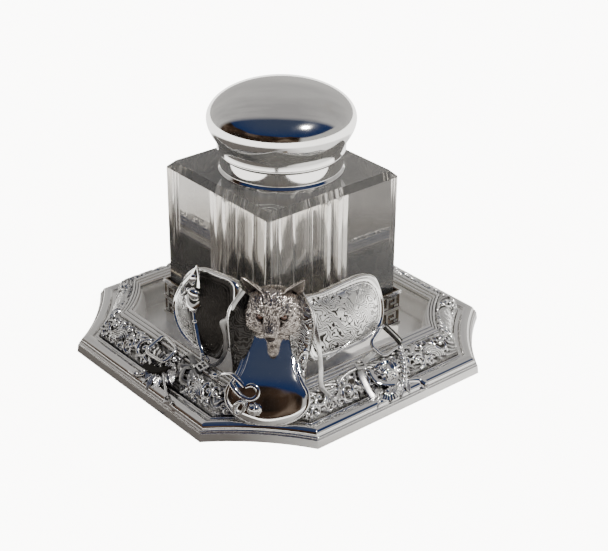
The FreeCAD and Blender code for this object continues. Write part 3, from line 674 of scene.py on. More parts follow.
    def finish(self):
        """Adds the stippled ground and the hatched outer edge, and flattens both edges."""
        xx, yy = np.meshgrid(self.x, self.y, indexing="ij")
        stipple = value_noise(np.stack([xx * 2.6 + 40, yy * 2.6], axis=-1), 3)
        drift = value_noise(np.stack([xx * 0.16 + 11, yy * 0.20 + 3], axis=-1), 9)
        flow = 0.5 + 0.5 * np.sin(TAU * (0.22 * xx + 0.55 * yy) + 17 * drift)
        self.height += (0.14 * stipple + 0.26 * flow ** 2) * smooth(0.55, 0.15, self.height)
        hatch = 0.5 + 0.5 * np.sin(xx * TAU / 0.85)
        edge = np.maximum(0.22 * hatch, self.height * smooth(0.7, 1.5, yy))
        self.height = np.where(yy < 1.3, edge, self.height)
        self.height *= smooth(0.0, 0.25, yy) * smooth(self.width, self.width - 0.4, yy)
        return self.height


def corner_panel(seed):
    """Relief of a cut corner: an engraved boss between two pairs of scrolls."""
    width = BANK_WIDTH
    panel = Relief(CORNER_LENGTH, width, RELIEF_CORNER, RELIEF_ACROSS, seed)
    panel.boss(0, width * 0.52, 7.4, 4.0, 1.25)
    for hand in (-1, 1):
        panel.scroll(hand * 11.6, width * 0.66, 2.7, math.pi / 2 + hand * 0.6, hand)
        panel.scroll(hand * 9.6, width * 0.22, 1.9, -math.pi / 2, -hand)
        for lobe in range(4):
            panel.leaf(hand * (3.0 + 1.6 * lobe), width * (0.10 + 0.02 * lobe), math.pi / 2 - hand * 1.1,
                       2.4, 0.6, 0.9)
            panel.leaf(hand * (2.0 + 1.9 * lobe), width * 0.93, -math.pi / 2 + hand * 1.1, 2.2, 0.6, 0.9)
    panel.fill(40, 1.2, 2.2)
    return panel.finish()


def side_panel(seed):
    """Relief of a long side: a shell between scrolls and curled feathers."""
    width = BANK_WIDTH
    panel = Relief(SIDE_LENGTH, width, RELIEF_SIDE, RELIEF_ACROSS, seed)
    panel.shell(0, width * 0.2, 7.2, math.pi / 2, 9)
    for hand in (-1, 1):
        panel.scroll(hand * 9.5, width * 0.55, 3.9, math.pi / 2 - hand * 0.4, -hand, 1.15)
        panel.scroll(hand * 17.6, width * 0.42, 3.3, -math.pi / 2, hand)
        panel.arcs(hand * 25.0, width * 0.30, 5.2, hand)
        panel.scroll(hand * 31.4, width * 0.58, 3.1, math.pi / 2 + hand * 0.5, hand)
        panel.leaf(hand * 21, width * 0.86, math.pi / 2 * (1 + hand), 5.0, 0.9, 1.0)
        panel.leaf(hand * 13, width * 0.90, math.pi / 2 * (1 - hand), 4.4, 0.9, 1.0)
    panel.fill(110, 1.3, 2.4)
    return panel.finish()


def bank_curve(share, drop=0.0):
    """Flat distance and height on the bank's cushion-shaped face, and its outward slope."""
    angle = np.radians(90) * share
    span, rise = BANK_OUT - BANK_IN, BANK_TOP - BANK_FOOT
    flat = BANK_IN + span * np.cos(angle)
    z = BANK_FOOT + rise * np.sin(angle)
    slope = np.array([rise * np.cos(angle), span * np.sin(angle)])
    slope = slope / np.linalg.norm(slope)
    return flat - slope[0] * drop, z - slope[1] * drop, slope


def make_bank(materials):
    """Chased bank: the cushion-shaped slope with its relief raised on it."""
    panels = []
    for quarter in range(4):
        panels.append(corner_panel(20 + quarter))
        panels.append(side_panel(40 + quarter))
    height = np.vstack(panels)
    rings = []
    for index, share in enumerate(np.linspace(0, 1, RELIEF_ACROSS)):
        flat, z, slope = bank_curve(share)
        ring = base_ring(flat, z, RELIEF_CORNER, RELIEF_SIDE)
        along = np.roll(ring, -1, 0) - np.roll(ring, 1, 0)
        out = np.column_stack([along[:, 1], -along[:, 0]])
        out /= np.linalg.norm(out, axis=1)[:, None]
        lift = height[:, index] * RELIEF_DEPTH
        ring[:, :2] += out * (slope[0] * lift)[:, None]
        ring[:, 2] += slope[1] * lift
        rings.append(ring)
    tone = [height.T]
    for share in (1.0, 0.5, 0.0):
        flat, z, _ = bank_curve(share, 1.1)
        rings.append(base_ring(flat, z, RELIEF_CORNER, RELIEF_SIDE))
        tone.append(np.zeros((1, height.shape[0])))
    # a recess is dark when it is low and when it is lower than what is round it
    wide = height.copy()
    for shift in (2, 4, 7):
        wide = (wide + np.roll(wide, shift, 0) + np.roll(wide, -shift, 0)) / 3
        wide[:, shift:-shift] = (wide[:, shift:-shift] + wide[:, 2 * shift:] + wide[:, :-2 * shift]) / 3
    tone[0] = np.clip(0.44 + 0.36 * height + 1.3 * (height - wide), 0.03, 1).T
    tone[0][:4] = 0.9
    # painted shade with darker oxide: the ground is blackest under the left iron and round the whip
    for along, out, reach in ((1.5, 59.0, 6.5), (-15.0, 60.5, 7.0)):
        middle = side_point(-1, along, out, 0)
        for index, ring in enumerate(rings[:RELIEF_ACROSS]):
            far = np.hypot(ring[:, 0] - middle[0], ring[:, 1] - middle[1])
            tone[0][index] *= 1 - 0.75 * np.exp(-(far / reach) ** 4)
    piece = loft("bank", np.array(rings), tone=np.vstack(tone), closed=True, sharp=0)
    finish_piece(piece, "stand", materials["chased"], "relief_bank")


def make_tray(materials):
    """Hollow inside the reeds and its flat floor, which goes on under the bottle."""
    floor_out = 48.4
    floor_ins = (10.0, 30.0)
    widest_round = 36
    under = SHEET * 0.8
    rim = REED_LOW[2]
    steps = 14
    face = [(flat, FLOOR_TOP) for flat in floor_ins]
    back = [(flat, FLOOR_TOP - under) for flat in floor_ins]
    for step in range(steps + 1):
        angle = math.radians(90 * step / steps)
        flat = floor_out + (FRAME_IN - floor_out) * (1 - math.cos(angle))
        z = FLOOR_TOP + (rim - FLOOR_TOP) * math.sin(angle)
        face.append((flat, z))
        back.append((flat + SHEET, z - SHEET * 0.2))
    rings = []
    for flat, z in face + back[::-1]:
        shrink = min(flat / widest_round, 1)
        rings.append(inner_ring(max(flat, widest_round), z) * (shrink, shrink, 1))
    piece = loft("well_floor", rings)
    finish_piece(piece, "stand", materials["satin"], "well_tray")


# ---------------------------------------------------------------- bottle and lid

FLUTES = 12
GLASS_HALF = GLASS_HIGH[0] / ROOT2 + 0.35   # middle of the block to a side
GLASS_CUT = 1.0                             # width of the flats ground on its upright corners
NECK = 20.4
BORE = 16.5
WELL = 18.0
WELL_BOTTOM = 20.0
COLLAR = 24.2
COLLAR_IN = 20.95
LID_FOOT = 25.1
BULGE = 98.0                                # height of the dome's widest ring


def polar_square(angles, half, cut):
    """Radius of a square with cut corners; its corners lie on the X and Y axes."""
    turned = (angles + math.pi / 4) % (math.pi / 2) - math.pi / 4
    # distance to a side, whose normals are at 45 degrees, and to the cut corner on the axis
    to_side = half / np.cos(angles % (math.pi / 2) - math.pi / 4)
    to_cut = (half * ROOT2 - cut / ROOT2) / np.cos(turned)
    return np.minimum(to_side, to_cut)


def glass_angles():
    """Even angles plus the exact corners of the block."""
    corner = math.atan2(GLASS_CUT / ROOT2, GLASS_HALF * ROOT2 - GLASS_CUT / ROOT2)
    even = np.arange(384) / 384 * TAU
    extra = [quarter * math.pi / 2 + side * corner for quarter in range(4) for side in (-1, 1)]
    return np.sort(np.concatenate([even, np.mod(extra, TAU)]))


def make_bottle(materials):
    """Glass block from its underside up over the neck and down into the fluted well."""
    top = COLLAR_LOW[2]
    bottom = GLASS_LOW[2]
    neck_top = GLASS_HIGH[2]
    angles = glass_angles()
    rays = np.column_stack([np.cos(angles), np.sin(angles)])
    flute = WELL + 1.5 * np.abs(np.sin(angles * FLUTES / 2)) ** 0.8

    def ring(radius, z):
        radius = np.broadcast_to(radius, angles.shape)
        return np.column_stack([rays * radius[:, None], np.full(len(angles), z)])

    def square(inset, z):
        return ring(polar_square(angles, GLASS_HALF - inset, GLASS_CUT), z)

    rings = [ring(1.0, bottom), ring(25.0, bottom), square(1.0, bottom), square(0.0, bottom + 1.0),
             square(0.0, top - 2.5), square(2.5, top), ring(NECK + 1.5, top), ring(NECK, top + 0.4),
             ring(NECK, neck_top - 0.6), ring(NECK - 0.6, neck_top), ring(BORE + 0.8, neck_top),
             ring(BORE, neck_top - 0.8)]
    shoulder = top - 4.0
    for step in range(7):
        share = step / 6
        rings.append(ring(mix(BORE, flute, smooth(0, 1, share)), shoulder - 5.0 * share))
    turn = 3.0
    for step in range(7):
        angle = math.radians(90 * step / 6)
        rings.append(ring(flute - turn * (1 - math.cos(angle)), WELL_BOTTOM + turn - turn * math.sin(angle)))
    rings.append(ring(1.0, WELL_BOTTOM - 0.3))
    finish_piece(loft("bottle", rings, sharp=25), "bottle", materials["glass"], "glass_bottle")


def make_collar(materials):
    """Collar round the neck, with a small step at its foot and a bead at its seam."""
    low, high = COLLAR_LOW[2], COLLAR_HIGH[2]
    profile = [(COLLAR_IN, low), (COLLAR + 0.9, low), (COLLAR + 0.85, low + 0.5), (COLLAR, low + 1.5),
               (COLLAR - 0.1, high - 1.2), (COLLAR + 0.6, high - 0.7), (COLLAR + 0.6, high),
               (COLLAR_IN, high)]
    finish_piece(lathe("collar", round_loop(profile, 0.3)), "bottle", materials["polished"], "neck_collar")


def make_lid(materials):
    """Upright band, flare and dome, hollow inside."""
    widest, _, top = DOME_HIGH
    low = BEZEL_LOW[2]
    flare = LID_FOOT + 0.5
    band = low + 3.6
    outer = [(LID_FOOT - 0.3, low), (LID_FOOT + 0.25, low + 0.4), (LID_FOOT + 0.3, low + 2.0), (flare, band)]
    for step in range(1, 15):
        share = step / 14
        radius = flare + (widest - flare) * math.sin(math.pi / 2 * share) ** 1.1
        outer.append((radius, band + (BULGE - band) * share))
    for step in range(1, 40):
        angle = math.pi / 2 * step / 40
        outer.append((widest * math.cos(angle), BULGE + (top - BULGE) * math.sin(angle)))
    inner = [(0.05, top - 1.3), (12, top - 2.6), (22, top - 7.0), (26.5, BULGE), (24.0, low + 4.2),
             (23.2, low + 1.0), (23.2, low)]
    outer.append((0.05, top))
    finish_piece(lathe("lid", outer + inner), "lid", materials["polished"], "lid_dome", "lid_bezel")


# ---------------------------------------------------------------- fox mask

MASK_BACK = np.array([2.9, -50.5, 48.2])
AHEAD = np.array([0.0, -0.85, -0.53])
AHEAD = AHEAD / np.linalg.norm(AHEAD)     # along the muzzle
ACROSS = np.array([1.0, 0.0, 0.0])
RISE = np.cross(AHEAD, ACROSS)
HEAD_MIDDLE = (7, 0, 0)                   # the next three are in head axes: ahead, across and up
EYE = np.array([12.4, 4.5, 3.1])
NOSE = np.array([19.6, 0.0, -0.1])
NOSE_SIZE = (1.2, 1.6, 1.2)
SOCKET_SIZE = (1.6, 1.6, 1.4)
EYE_RADIUS = 1.25


def ball(points, centre, radii):
    """Rough distance to an ellipsoid."""
    radii = np.array(radii)
    scaled = np.linalg.norm((points - np.array(centre)) / radii, axis=-1)
    return (scaled - 1) * radii.min()


def rod(points, start, end, first, last):
    """Distance to a bar whose radius changes from first to last."""
    start, end = np.array(start), np.array(end)
    line = end - start
    share = np.clip(((points - start) @ line) / (line @ line), 0, 1)
    near = start + share[..., None] * line
    return np.linalg.norm(points - near, axis=-1) - mix(first, last, share)


def blend_in(first, second, soft):
    """Soft union of two distances."""
    share = np.clip(0.5 + 0.5 * (second - first) / soft, 0, 1)
    return mix(second, first, share) - soft * share * (1 - share)


def cut_out(first, second, soft):
    """Soft removal of the second shape from the first."""
    share = np.clip(0.5 - 0.5 * (second + first) / soft, 0, 1)
    return mix(first, -second, share) + soft * share * (1 - share)


def mirrored(place, hand):
    """A place on the right of the head, or for a hand of -1 on the left."""
    return place * (1, hand, 1)


def mask_distance(points):
    """Fox head without ears. Axes: ahead along the muzzle, across to the right, and up."""
    shape = ball(points, (6.2, 0, 1.2), (7.2, 9.4, 7.6))
    for hand in (-1, 1):
        shape = blend_in(shape, ball(points, (8.2, hand * 5.4, -3.8), (7.0, 5.6, 6.0)), 2.6)
        shape = blend_in(shape, ball(points, (10.4, hand * 4.0, 4.5), (2.5, 2.6, 1.5)), 1.2)
    shape = blend_in(shape, rod(points, (9.5, 0, -0.4), (17.4, 0, -0.8), 5.4, 2.7), 2.4)
    shape = blend_in(shape, rod(points, (8.8, 0, 3.9), (17.8, 0, 0.9), 2.3, 1.6), 1.4)
    shape = blend_in(shape, rod(points, (10.0, 0, -3.2), (17.4, 0, -2.2), 3.6, 1.6), 1.4)
    for hand in (-1, 1):
        shape = cut_out(shape, ball(points, mirrored(EYE, hand), SOCKET_SIZE), 0.8)
        shape = cut_out(shape, rod(points, (11.8, hand * 3.2, 1.8), (15.6, hand * 2.9, 0.0), 0.7, 0.3), 1.4)
    shape = blend_in(shape, ball(points, NOSE, NOSE_SIZE), 0.35)
    for hand in (-1, 1):
        nostril = ball(points, NOSE + (0.95, hand * 0.8, -0.05), (0.7, 0.42, 0.36))
        mouth = rod(points, (12.5, hand * 3.9, -2.6), (18.9, hand * 0.9, -2.0), 0.14, 0.14)
        shape = cut_out(cut_out(shape, nostril, 0.2), mouth, 0.4)
    return shape


def mask_surface(rows, cols):
    """Points on the head, found along rays that fan out from a line inside it."""
    share = np.linspace(0, 1, rows)
    theta = math.pi * (1 - share ** 0.92)
    spine = 3.2 + 12.4 * smooth(0.45, 1.0, share)
    around = np.arange(cols) / cols * TAU
    direction = np.zeros((rows, cols, 3))
    direction[..., 0] = np.cos(theta)[:, None]
    direction[..., 1] = np.sin(theta)[:, None] * np.cos(around)
    direction[..., 2] = np.sin(theta)[:, None] * np.sin(around)
    origin = np.zeros((rows, 1, 3))
    origin[:, 0, 0] = spine
    origin[:, 0, 2] = -0.9 * smooth(0.5, 1.0, share)
    inside = np.zeros((rows, cols))
    for reach in np.linspace(0, 16.0, 60)[1:]:
        value = mask_distance(origin + direction * reach)
        inside = np.where((value < 0) & (reach - inside < 0.7), reach, inside)
    # the surface is a little beyond the last point inside
    near, far = inside, inside + 0.28
    for _ in range(14):
        middle = (near + far) / 2
        value = mask_distance(origin + direction * middle[..., None])
        near = np.where(value < 0, middle, near)
        far = np.where(value < 0, far, middle)
    return origin + direction * near[..., None]


def surface_normals(points):
    """Unit normals of a grid of points, wrapped in its second direction."""
    down = np.gradient(points, axis=0)
    along = np.roll(points, -1, 1) - np.roll(points, 1, 1)
    normal = np.cross(down, along)
    size = np.linalg.norm(normal, axis=-1, keepdims=True)
    return normal / np.maximum(size, 1e-9)


def to_frame(local):
    """Head axes to the model's own frame."""
    return MASK_BACK + local[..., :1] * AHEAD + local[..., 1:2] * ACROSS + local[..., 2:3] * RISE


def fur_lines(points, seed, length_scale, width_scale):
    """Fine tapering strokes that run from the nose outwards over the face."""
    angle = np.arctan2(points[..., 2] + 0.9, points[..., 1])
    reach = np.hypot(points[..., 1], points[..., 2] + 0.9)
    run = np.hypot(reach, 22 - points[..., 0])
    wave = 0.25 * np.sin(run * 0.9 + 3 * np.cos(angle))
    lines = np.stack([(angle + 0.06 * wave) * width_scale, run * length_scale], axis=-1)
    coarse = value_noise(lines, seed)
    finer = value_noise(lines * (1.6, 1.3), seed + 1)
    return 1 - np.abs(2 * (0.6 * coarse + 0.4 * finer) - 1) * 2


def make_mask(materials):
    """Fox head covered with fur, and its ears."""
    rows, cols = 340, 520
    local = mask_surface(rows, cols)
    normal = surface_normals(local)
    if (normal[rows // 2] * (local[rows // 2] - HEAD_MIDDLE)).sum() < 0:
        normal = -normal
    strokes = fur_lines(local, 11, 0.85, 17.0)
    nose = ball(local, NOSE, NOSE_SIZE)
    socket = np.minimum(*(ball(local, mirrored(EYE, hand), SOCKET_SIZE) for hand in (-1, 1)))
    bare = smooth(0.10, 0.5, nose) * smooth(0.15, 0.6, socket)
    length = smooth(19, 10, local[..., 0])
    depth = (0.11 + 0.24 * length) * bare
    local = local + normal * (strokes * depth)[..., None]
    tone = 0.50 + 0.45 * strokes * bare
    tone = np.where(nose < 0.10, 0.10, tone)
    tone = np.where(socket < 0.12, 0.12, tone)
    pieces = [loft("mask_head", to_frame(local), tone=tone, sharp=0), make_ear(-1), make_ear(1)]
    finish_piece(join("mask", pieces), "stand", materials["fur"], "fox_mask")


def make_ear(hand):
    """Cupped, pointed ear, open towards the front."""
    root = np.array([4.0, hand * 6.2, 5.0])
    tip = np.array([2.4, hand * 11.7, 13.2])
    axis = tip - root
    length = np.linalg.norm(axis)
    axis = axis / length
    facing = np.array([0.86, hand * 0.25, -0.30])
    facing = facing - axis * (facing @ axis)
    facing /= np.linalg.norm(facing)
    side = np.cross(axis, facing)
    rows, half = 60, 30
    phi = np.linspace(-1, 1, half)
    hollow = np.concatenate([np.zeros(half), 1 - phi[::-1] ** 2])
    rings = []
    tones = []
    for share in np.arange(rows) / (rows - 1):
        wide = 4.6 * (1 - share) ** 0.72 * (1 + 0.28 * math.sin(math.pi * share)) + 0.12
        deep = 2.5 * (1 - share) ** 0.8 + 0.12
        middle = root + axis * (length * share) - facing * 0.6 * share
        back = np.column_stack([phi * wide, -deep * (1 - phi ** 2)])
        front = np.column_stack([phi[::-1] * wide * 0.88, -deep * 0.62 * (1 - phi[::-1] ** 2) + 0.30])
        outline = np.vstack([back, front])
        ring = middle + outline[:, :1] * side + outline[:, 1:] * facing
        hairs = outline[:, 0] * 3.4 + 50 * hand + np.sign(outline[:, 1] + 0.2) * 9
        strokes = value_noise(np.column_stack([hairs, np.full(len(outline), share * 9.0)]), 23)
        rings.append(ring + facing * ((strokes - 0.5) * 0.22)[:, None])
        tones.append(0.60 + 0.35 * strokes - 0.45 * hollow)
    return loft("ear", to_frame(np.array(rings)), tone=np.array(tones), sharp=0)


def make_eyes(materials):
    """Round brown stones in the mask's sockets."""
    made = []
    around = np.arange(40)[:, None] / 40 * TAU
    wheel = np.cos(around) * ACROSS + np.sin(around) * RISE
    for hand in (-1, 1):
        centre = to_frame(mirrored(EYE, hand) - (0.7, hand * 0.1, 0.15))
        angles = math.pi * (0.02 + 0.96 * np.arange(28) / 27)
        rings = [centre + EYE_RADIUS * (math.cos(angle) * AHEAD + math.sin(angle) * wheel)
                 for angle in angles]
        made.append(loft("eye", rings, sharp=0))
    finish_piece(join("eyes", made), "stand", materials["stone"], "fox_eyes")


# ---------------------------------------------------------------- saddle

SEAT_X = 2.3                   # the seat's middle line is a little to the right of the corner
FLAP_OUT = 41.2                # where a flap's top edge stands from the middle
FLAP_TOP = 44.0
FLAP_LEAN = math.radians(18)   # how far the flaps spread at the bottom


def seat_rows():
    """Middle line of the seat from the pommel to the cantle: y, z, half width, thickness, crown."""
    return np.array([
        (-51.5, 42.0, 5.0, 2.6, 1.2), (-55.0, 36.0, 7.4, 3.4, 1.2), (-59.5, 30.8, 9.2, 4.2, 1.3),
        (-64.0, 26.6, 10.2, 4.6, 1.6), (-67.5, 23.6, 11.2, 4.4, 1.9), (-70.0, 20.9, 12.6, 4.2, 2.3),
        (-72.0, 17.5, 14.8, 3.9, 2.6), (-74.0, 13.6, 15.0, 3.4, 2.8), (-75.6, 10.5, 12.9, 2.8, 2.8),
        (-76.8, 8.2, 9.2, 2.0, 2.4), (-77.5, 6.9, 4.4, 1.4, 1.8)])


def make_seat(materials):
    """Mirror-bright seat: one crowned sheet with a soft edge, closed underneath."""
    rows = curve_points(seat_rows(), 150)
    angle = np.arange(96) / 96 * TAU
    side = np.sign(np.cos(angle)) * np.abs(np.cos(angle)) ** 0.9
    slope = np.gradient(rows[:, :2], axis=0)
    slope /= np.linalg.norm(slope, axis=1)[:, None]
    rings = []
    for (y, z, wide, thick, crown), along in zip(rows, slope):
        face = np.array([0, along[1], -along[0]])
        if face[2] < 0:
            face = -face
        up = np.where(np.sin(angle) > 0, np.sin(angle) * crown, np.sin(angle) * thick * 0.5)
        across = (SEAT_X + side * wide)[:, None] * (1, 0, 0)
        rings.append(across + (0, y, z) + up[:, None] * face)
    finish_piece(loft("seat", rings), "stand", materials["polished"], "saddle_seat")


def seat_edge(reach, lift):
    """Line round the seat's broad end, reach mm outside its edge and lift mm proud of it."""
    rows = curve_points(seat_rows(), 60)[16:]
    left, right = (np.column_stack([SEAT_X + hand * (rows[:, 2] + reach), rows[:, 0], rows[:, 1] + lift])
                   for hand in (-1, 1))
    return np.vstack([left, right[::-1]])


def make_piping(materials):
    """Double rolled edge of the seat."""
    made = []
    for reach, lift, size in ((0.1, 0.5, 1.5), (-1.9, 1.2, 0.9)):
        made.append(strap("roll", seat_edge(reach, lift)[::3], size, size, samples=150, around=16))
    finish_piece(join("piping", made), "stand", materials["polished"], "seat_piping")


HANDS = {1: "right", -1: "left"}


def flap_outline(side):
    """Outline of a side flap in its own sloping plane, as (along, rise from the top edge) pairs."""
    if side > 0:
        points = [(-26, -0.6), (-14.7, -0.4), (-1.9, 0.2), (5.8, 0.0), (10.6, -1.9), (13.2, -6.4),
                  (13.9, -13.2), (12.3, -19.8), (8.4, -23.9), (2.0, -26.0), (-8.3, -26.4), (-19.8, -25.6),
                  (-26, -24), (-27, -12)]
    else:
        points = [(-24.6, 4.0), (-12.4, 4.0), (-2.1, 2.3), (2.2, 0.0), (6.6, -5.8), (9.4, -14.4),
                  (8.0, -20.4), (1.6, -26.0), (-8.1, -28.7), (-18.7, -28.0), (-25, -25), (-27, -10)]
    return curve_points(points, 320, closed=True)


def side_point(side, along, out, z):
    """A point by a front side of the base: side is 1 for right and -1 for left."""
    along, out, z = np.broadcast_arrays(np.asarray(along, float), out, z)
    return np.stack([side * (out + along) / ROOT2, (along - out) / ROOT2, z], axis=-1)


def flap_point(side, along, rise, lift):
    """A point on a flap: rise is measured up its slope from the top edge, lift out from its face."""
    out = FLAP_OUT - rise * math.sin(FLAP_LEAN) + lift * math.cos(FLAP_LEAN)
    height = FLAP_TOP + rise * math.cos(FLAP_LEAN) + lift * math.sin(FLAP_LEAN)
    return side_point(side, along, out, height)


def make_flap(side, materials):
    """Broad flap: bulged plate with a rolled bright edge, a groove and an engraved face, carrying painted
    shade on the right flap and a painted dark reflection on the left.
    """
    outline = flap_outline(side)
    centre = outline.mean(axis=0)
    share = np.linspace(0.0, 1.0, 90)[:, None, None]
    spread = centre + (outline - centre) * share
    along, rise = spread[..., 0], spread[..., 1]
    share = share[..., 0] + 0 * along
    bulge = 2.6 * (1 - share ** 2.2)
    top = smooth(-9, -1, rise)
    rim = (0.8 + 0.5 * top) * hump(share, 0.96, 0.030 + 0.045 * top)
    inward = share + 0.06 * top
    groove = hump(inward, 0.86, 0.011) + hump(inward, 0.80, 0.009)
    tone = np.where(inward < 0.79, 0.84, 1.0) - 0.75 * np.clip(groove, 0, 1)
    # painted shade: the right flap's engraved face darkens towards its lower inner part
    if side > 0:
        tone = tone * np.where(share < 0.86, mix(0.62, 1.0, smooth(-22, -2, along + 0.5 * rise)), 1.0)
    else:
        # painted reflection: most of the left flap's face and rim is darkened as if it mirrored dark
        # surroundings; lit marks where it stays bright, towards its outer lower part and along the top of the
        # rim
        lit = smooth(2.0, 7.0, 0.5 * (along + 8) - 0.5 * (rise + 14))
        painted_bright_edge = np.maximum(lit, top)
        tone = tone * np.where(share < 0.90, mix(0.05, 1.0, lit), mix(0.12, 1.0, painted_bright_edge))
    lift = bulge + rim - 0.25 * groove
    front = flap_point(side, along, rise, 0.7 + lift)
    back = flap_point(side, along, rise, -0.6 + bulge * 0.8)
    rings = np.concatenate([front, back[::-1]], axis=0)
    tones = np.concatenate([tone, np.full(tone.shape, 0.4)], axis=0)
    hand = HANDS[side]
    piece = loft("flap_" + hand, rings, tone=tones, sharp=0)
    finish_piece(piece, "stand", materials["engraved"], "saddle_flap_" + hand)


def make_skirt(side, materials):
    """Shaped panel between the seat and the flap, with a rolled rim and an engraved scroll; the left one has
    a painted dark reflection on its face.
    """
    rows, cols = 110, 70
    inner = curve_points([(6.0, -54.0, 45.5), (7.0, -59.0, 36.0), (8.6, -63.5, 28.0), (11.6, -68.5, 20.5),
                          (14.8, -71.5, 15.0)], rows)
    outer = curve_points([(11.5, -54.5, 51.0), (16.4, -58.5, 43.2), (15.6, -62.0, 33.4), (13.4, -66.6, 22.6),
                          (15.6, -71.8, 14.6)], rows)
    share, span = np.meshgrid(np.linspace(0, 1, rows), np.linspace(0, 1, cols), indexing="ij")
    sheet = mix(inner[:, None, :], outer[:, None, :], span[..., None])
    swell = 1.5 * np.sin(math.pi * span) * smooth(0, 0.2, share) * smooth(1, 0.7, share)
    edge = hump(span, 0.93, 0.05)
    # spiral scroll on the lower half
    dx = span - 0.50
    dy = (share - 0.62) * 3.2
    far = np.hypot(dx, dy)
    scroll = smooth(0.1, 0.8, np.sin(far * 26 + np.arctan2(dy, dx))) * smooth(0.48, 0.36, far)
    lift = swell + 0.7 * edge + 0.40 * scroll
    facing = np.array([0.35, -0.75, 0.56])
    front = sheet + lift[..., None] * facing
    back = sheet - 0.9 * facing
    rings = np.concatenate([front, back[:, ::-1]], axis=1)
    rings[..., 0] = SEAT_X + side * rings[..., 0]
    tone = np.where(span > 0.88, 1.0, 0.84) - 0.7 * hump(span, 0.84, 0.02) + 0.15 * scroll
    # painted reflection: the left skirt's face is darkened almost to black as if it mirrored dark
    # surroundings, while its rim stays bright
    if side < 0:
        tone = np.where(span > 0.88, 1.0, 0.10 * tone)
    tones = np.concatenate([np.clip(tone, 0, 1), np.full(tone.shape, 0.3)], axis=1)
    hand = HANDS[side]
    piece = loft("skirt_" + hand, rings, tone=tones, sharp=50, flip=side < 0)
    finish_piece(piece, "stand", materials["engraved"], "saddle_skirt_" + hand)


# ---------------------------------------------------------------- straps and ornaments

def by_side(side, *points):
    """Points given as (along, out, height) beside one front side of the base."""
    return np.array([side_point(side, *point) for point in points])


def blob(name, centre, along, across, rise, folds=0.0, seed=1, rows=40, cols=60):
    """Rounded lump spanned by three half-axes, with optional soft folds."""
    theta, around = np.meshgrid((np.arange(rows) + 0.5) / rows * math.pi, np.arange(cols) / cols * TAU,
                                indexing="ij")
    ray = np.stack([np.cos(theta), np.sin(theta) * np.cos(around), np.sin(theta) * np.sin(around)], axis=-1)
    size = np.ones((rows, cols))
    if folds:
        bent = value_noise(ray * 1.3 + 7, seed)
        size += folds * np.sin(ray[..., 0] * 5 + bent * 15 + 2 * value_noise(ray * 3, seed + 1))
    rings = np.asarray(centre) + (ray * size[..., None]) @ np.array([along, across, rise], float)
    return loft(name, rings, tone=0.55 + 0.45 * (size - size.min()) / max(np.ptp(size), 1e-6), sharp=0)


def knob(name, centre, long, wide, high):
    """Plain lump whose half-axes lie along X, Y and Z."""
    return blob(name, centre, (long, 0, 0), (0, wide, 0), (0, 0, high))


LEAF_THICK = 0.45
LEAF_RIBS = 5


def leaf_blade(name, root, tip, wide, lift):
    """Pointed leaf with ribs: it rises from its root, bows over and dips at the tip."""
    root, tip = np.asarray(root, float), np.asarray(tip, float)
    rows, cols = 36, 22
    share, span = np.meshgrid(np.linspace(0, 1, rows), np.linspace(-1, 1, cols), indexing="ij")
    axis = tip - root
    flat = np.cross(axis, (0, 0, 1.0))
    flat /= np.linalg.norm(flat)
    half = wide / 2 * np.sin(math.pi * (0.08 + 0.90 * share)) ** 0.8
    half = half * (1 + 0.16 * np.cos(share * TAU * 3.5))
    rib = 0.16 * np.cos(span * math.pi * LEAF_RIBS)
    height = lift * np.sin(math.pi * share ** 0.8) + 0.48 * half * span ** 2 + rib
    top = root + share[..., None] * axis + (half * span)[..., None] * flat + height[..., None] * (0, 0, 1)
    rings = np.concatenate([top, top[:, ::-1] - (0, 0, LEAF_THICK)], axis=1)
    tone = np.concatenate([0.70 + 1.5 * rib, np.full(rib.shape, 0.3)], axis=1)
    return loft(name, rings, tone=tone, sharp=0)


def leaves(side, rows):
    """Leaf blades beside one front side; each row is root, tip, width and lift."""
    return [leaf_blade("leaf", side_point(side, *root), side_point(side, *tip), wide, lift)
            for root, tip, wide, lift in rows]


def tapered(first, last, power=1):
    """Width that goes from first to last along a bar."""
    return lambda share: first + (last - first) * share ** power


def toned(piece, level):
    """Gives a plain piece one tone all over."""
    mesh = piece.data
    layer = mesh.attributes.get("tone") or mesh.attributes.new("tone", "FLOAT", "POINT")
    layer.data.foreach_set("value", [level] * len(mesh.vertices))
    return piece


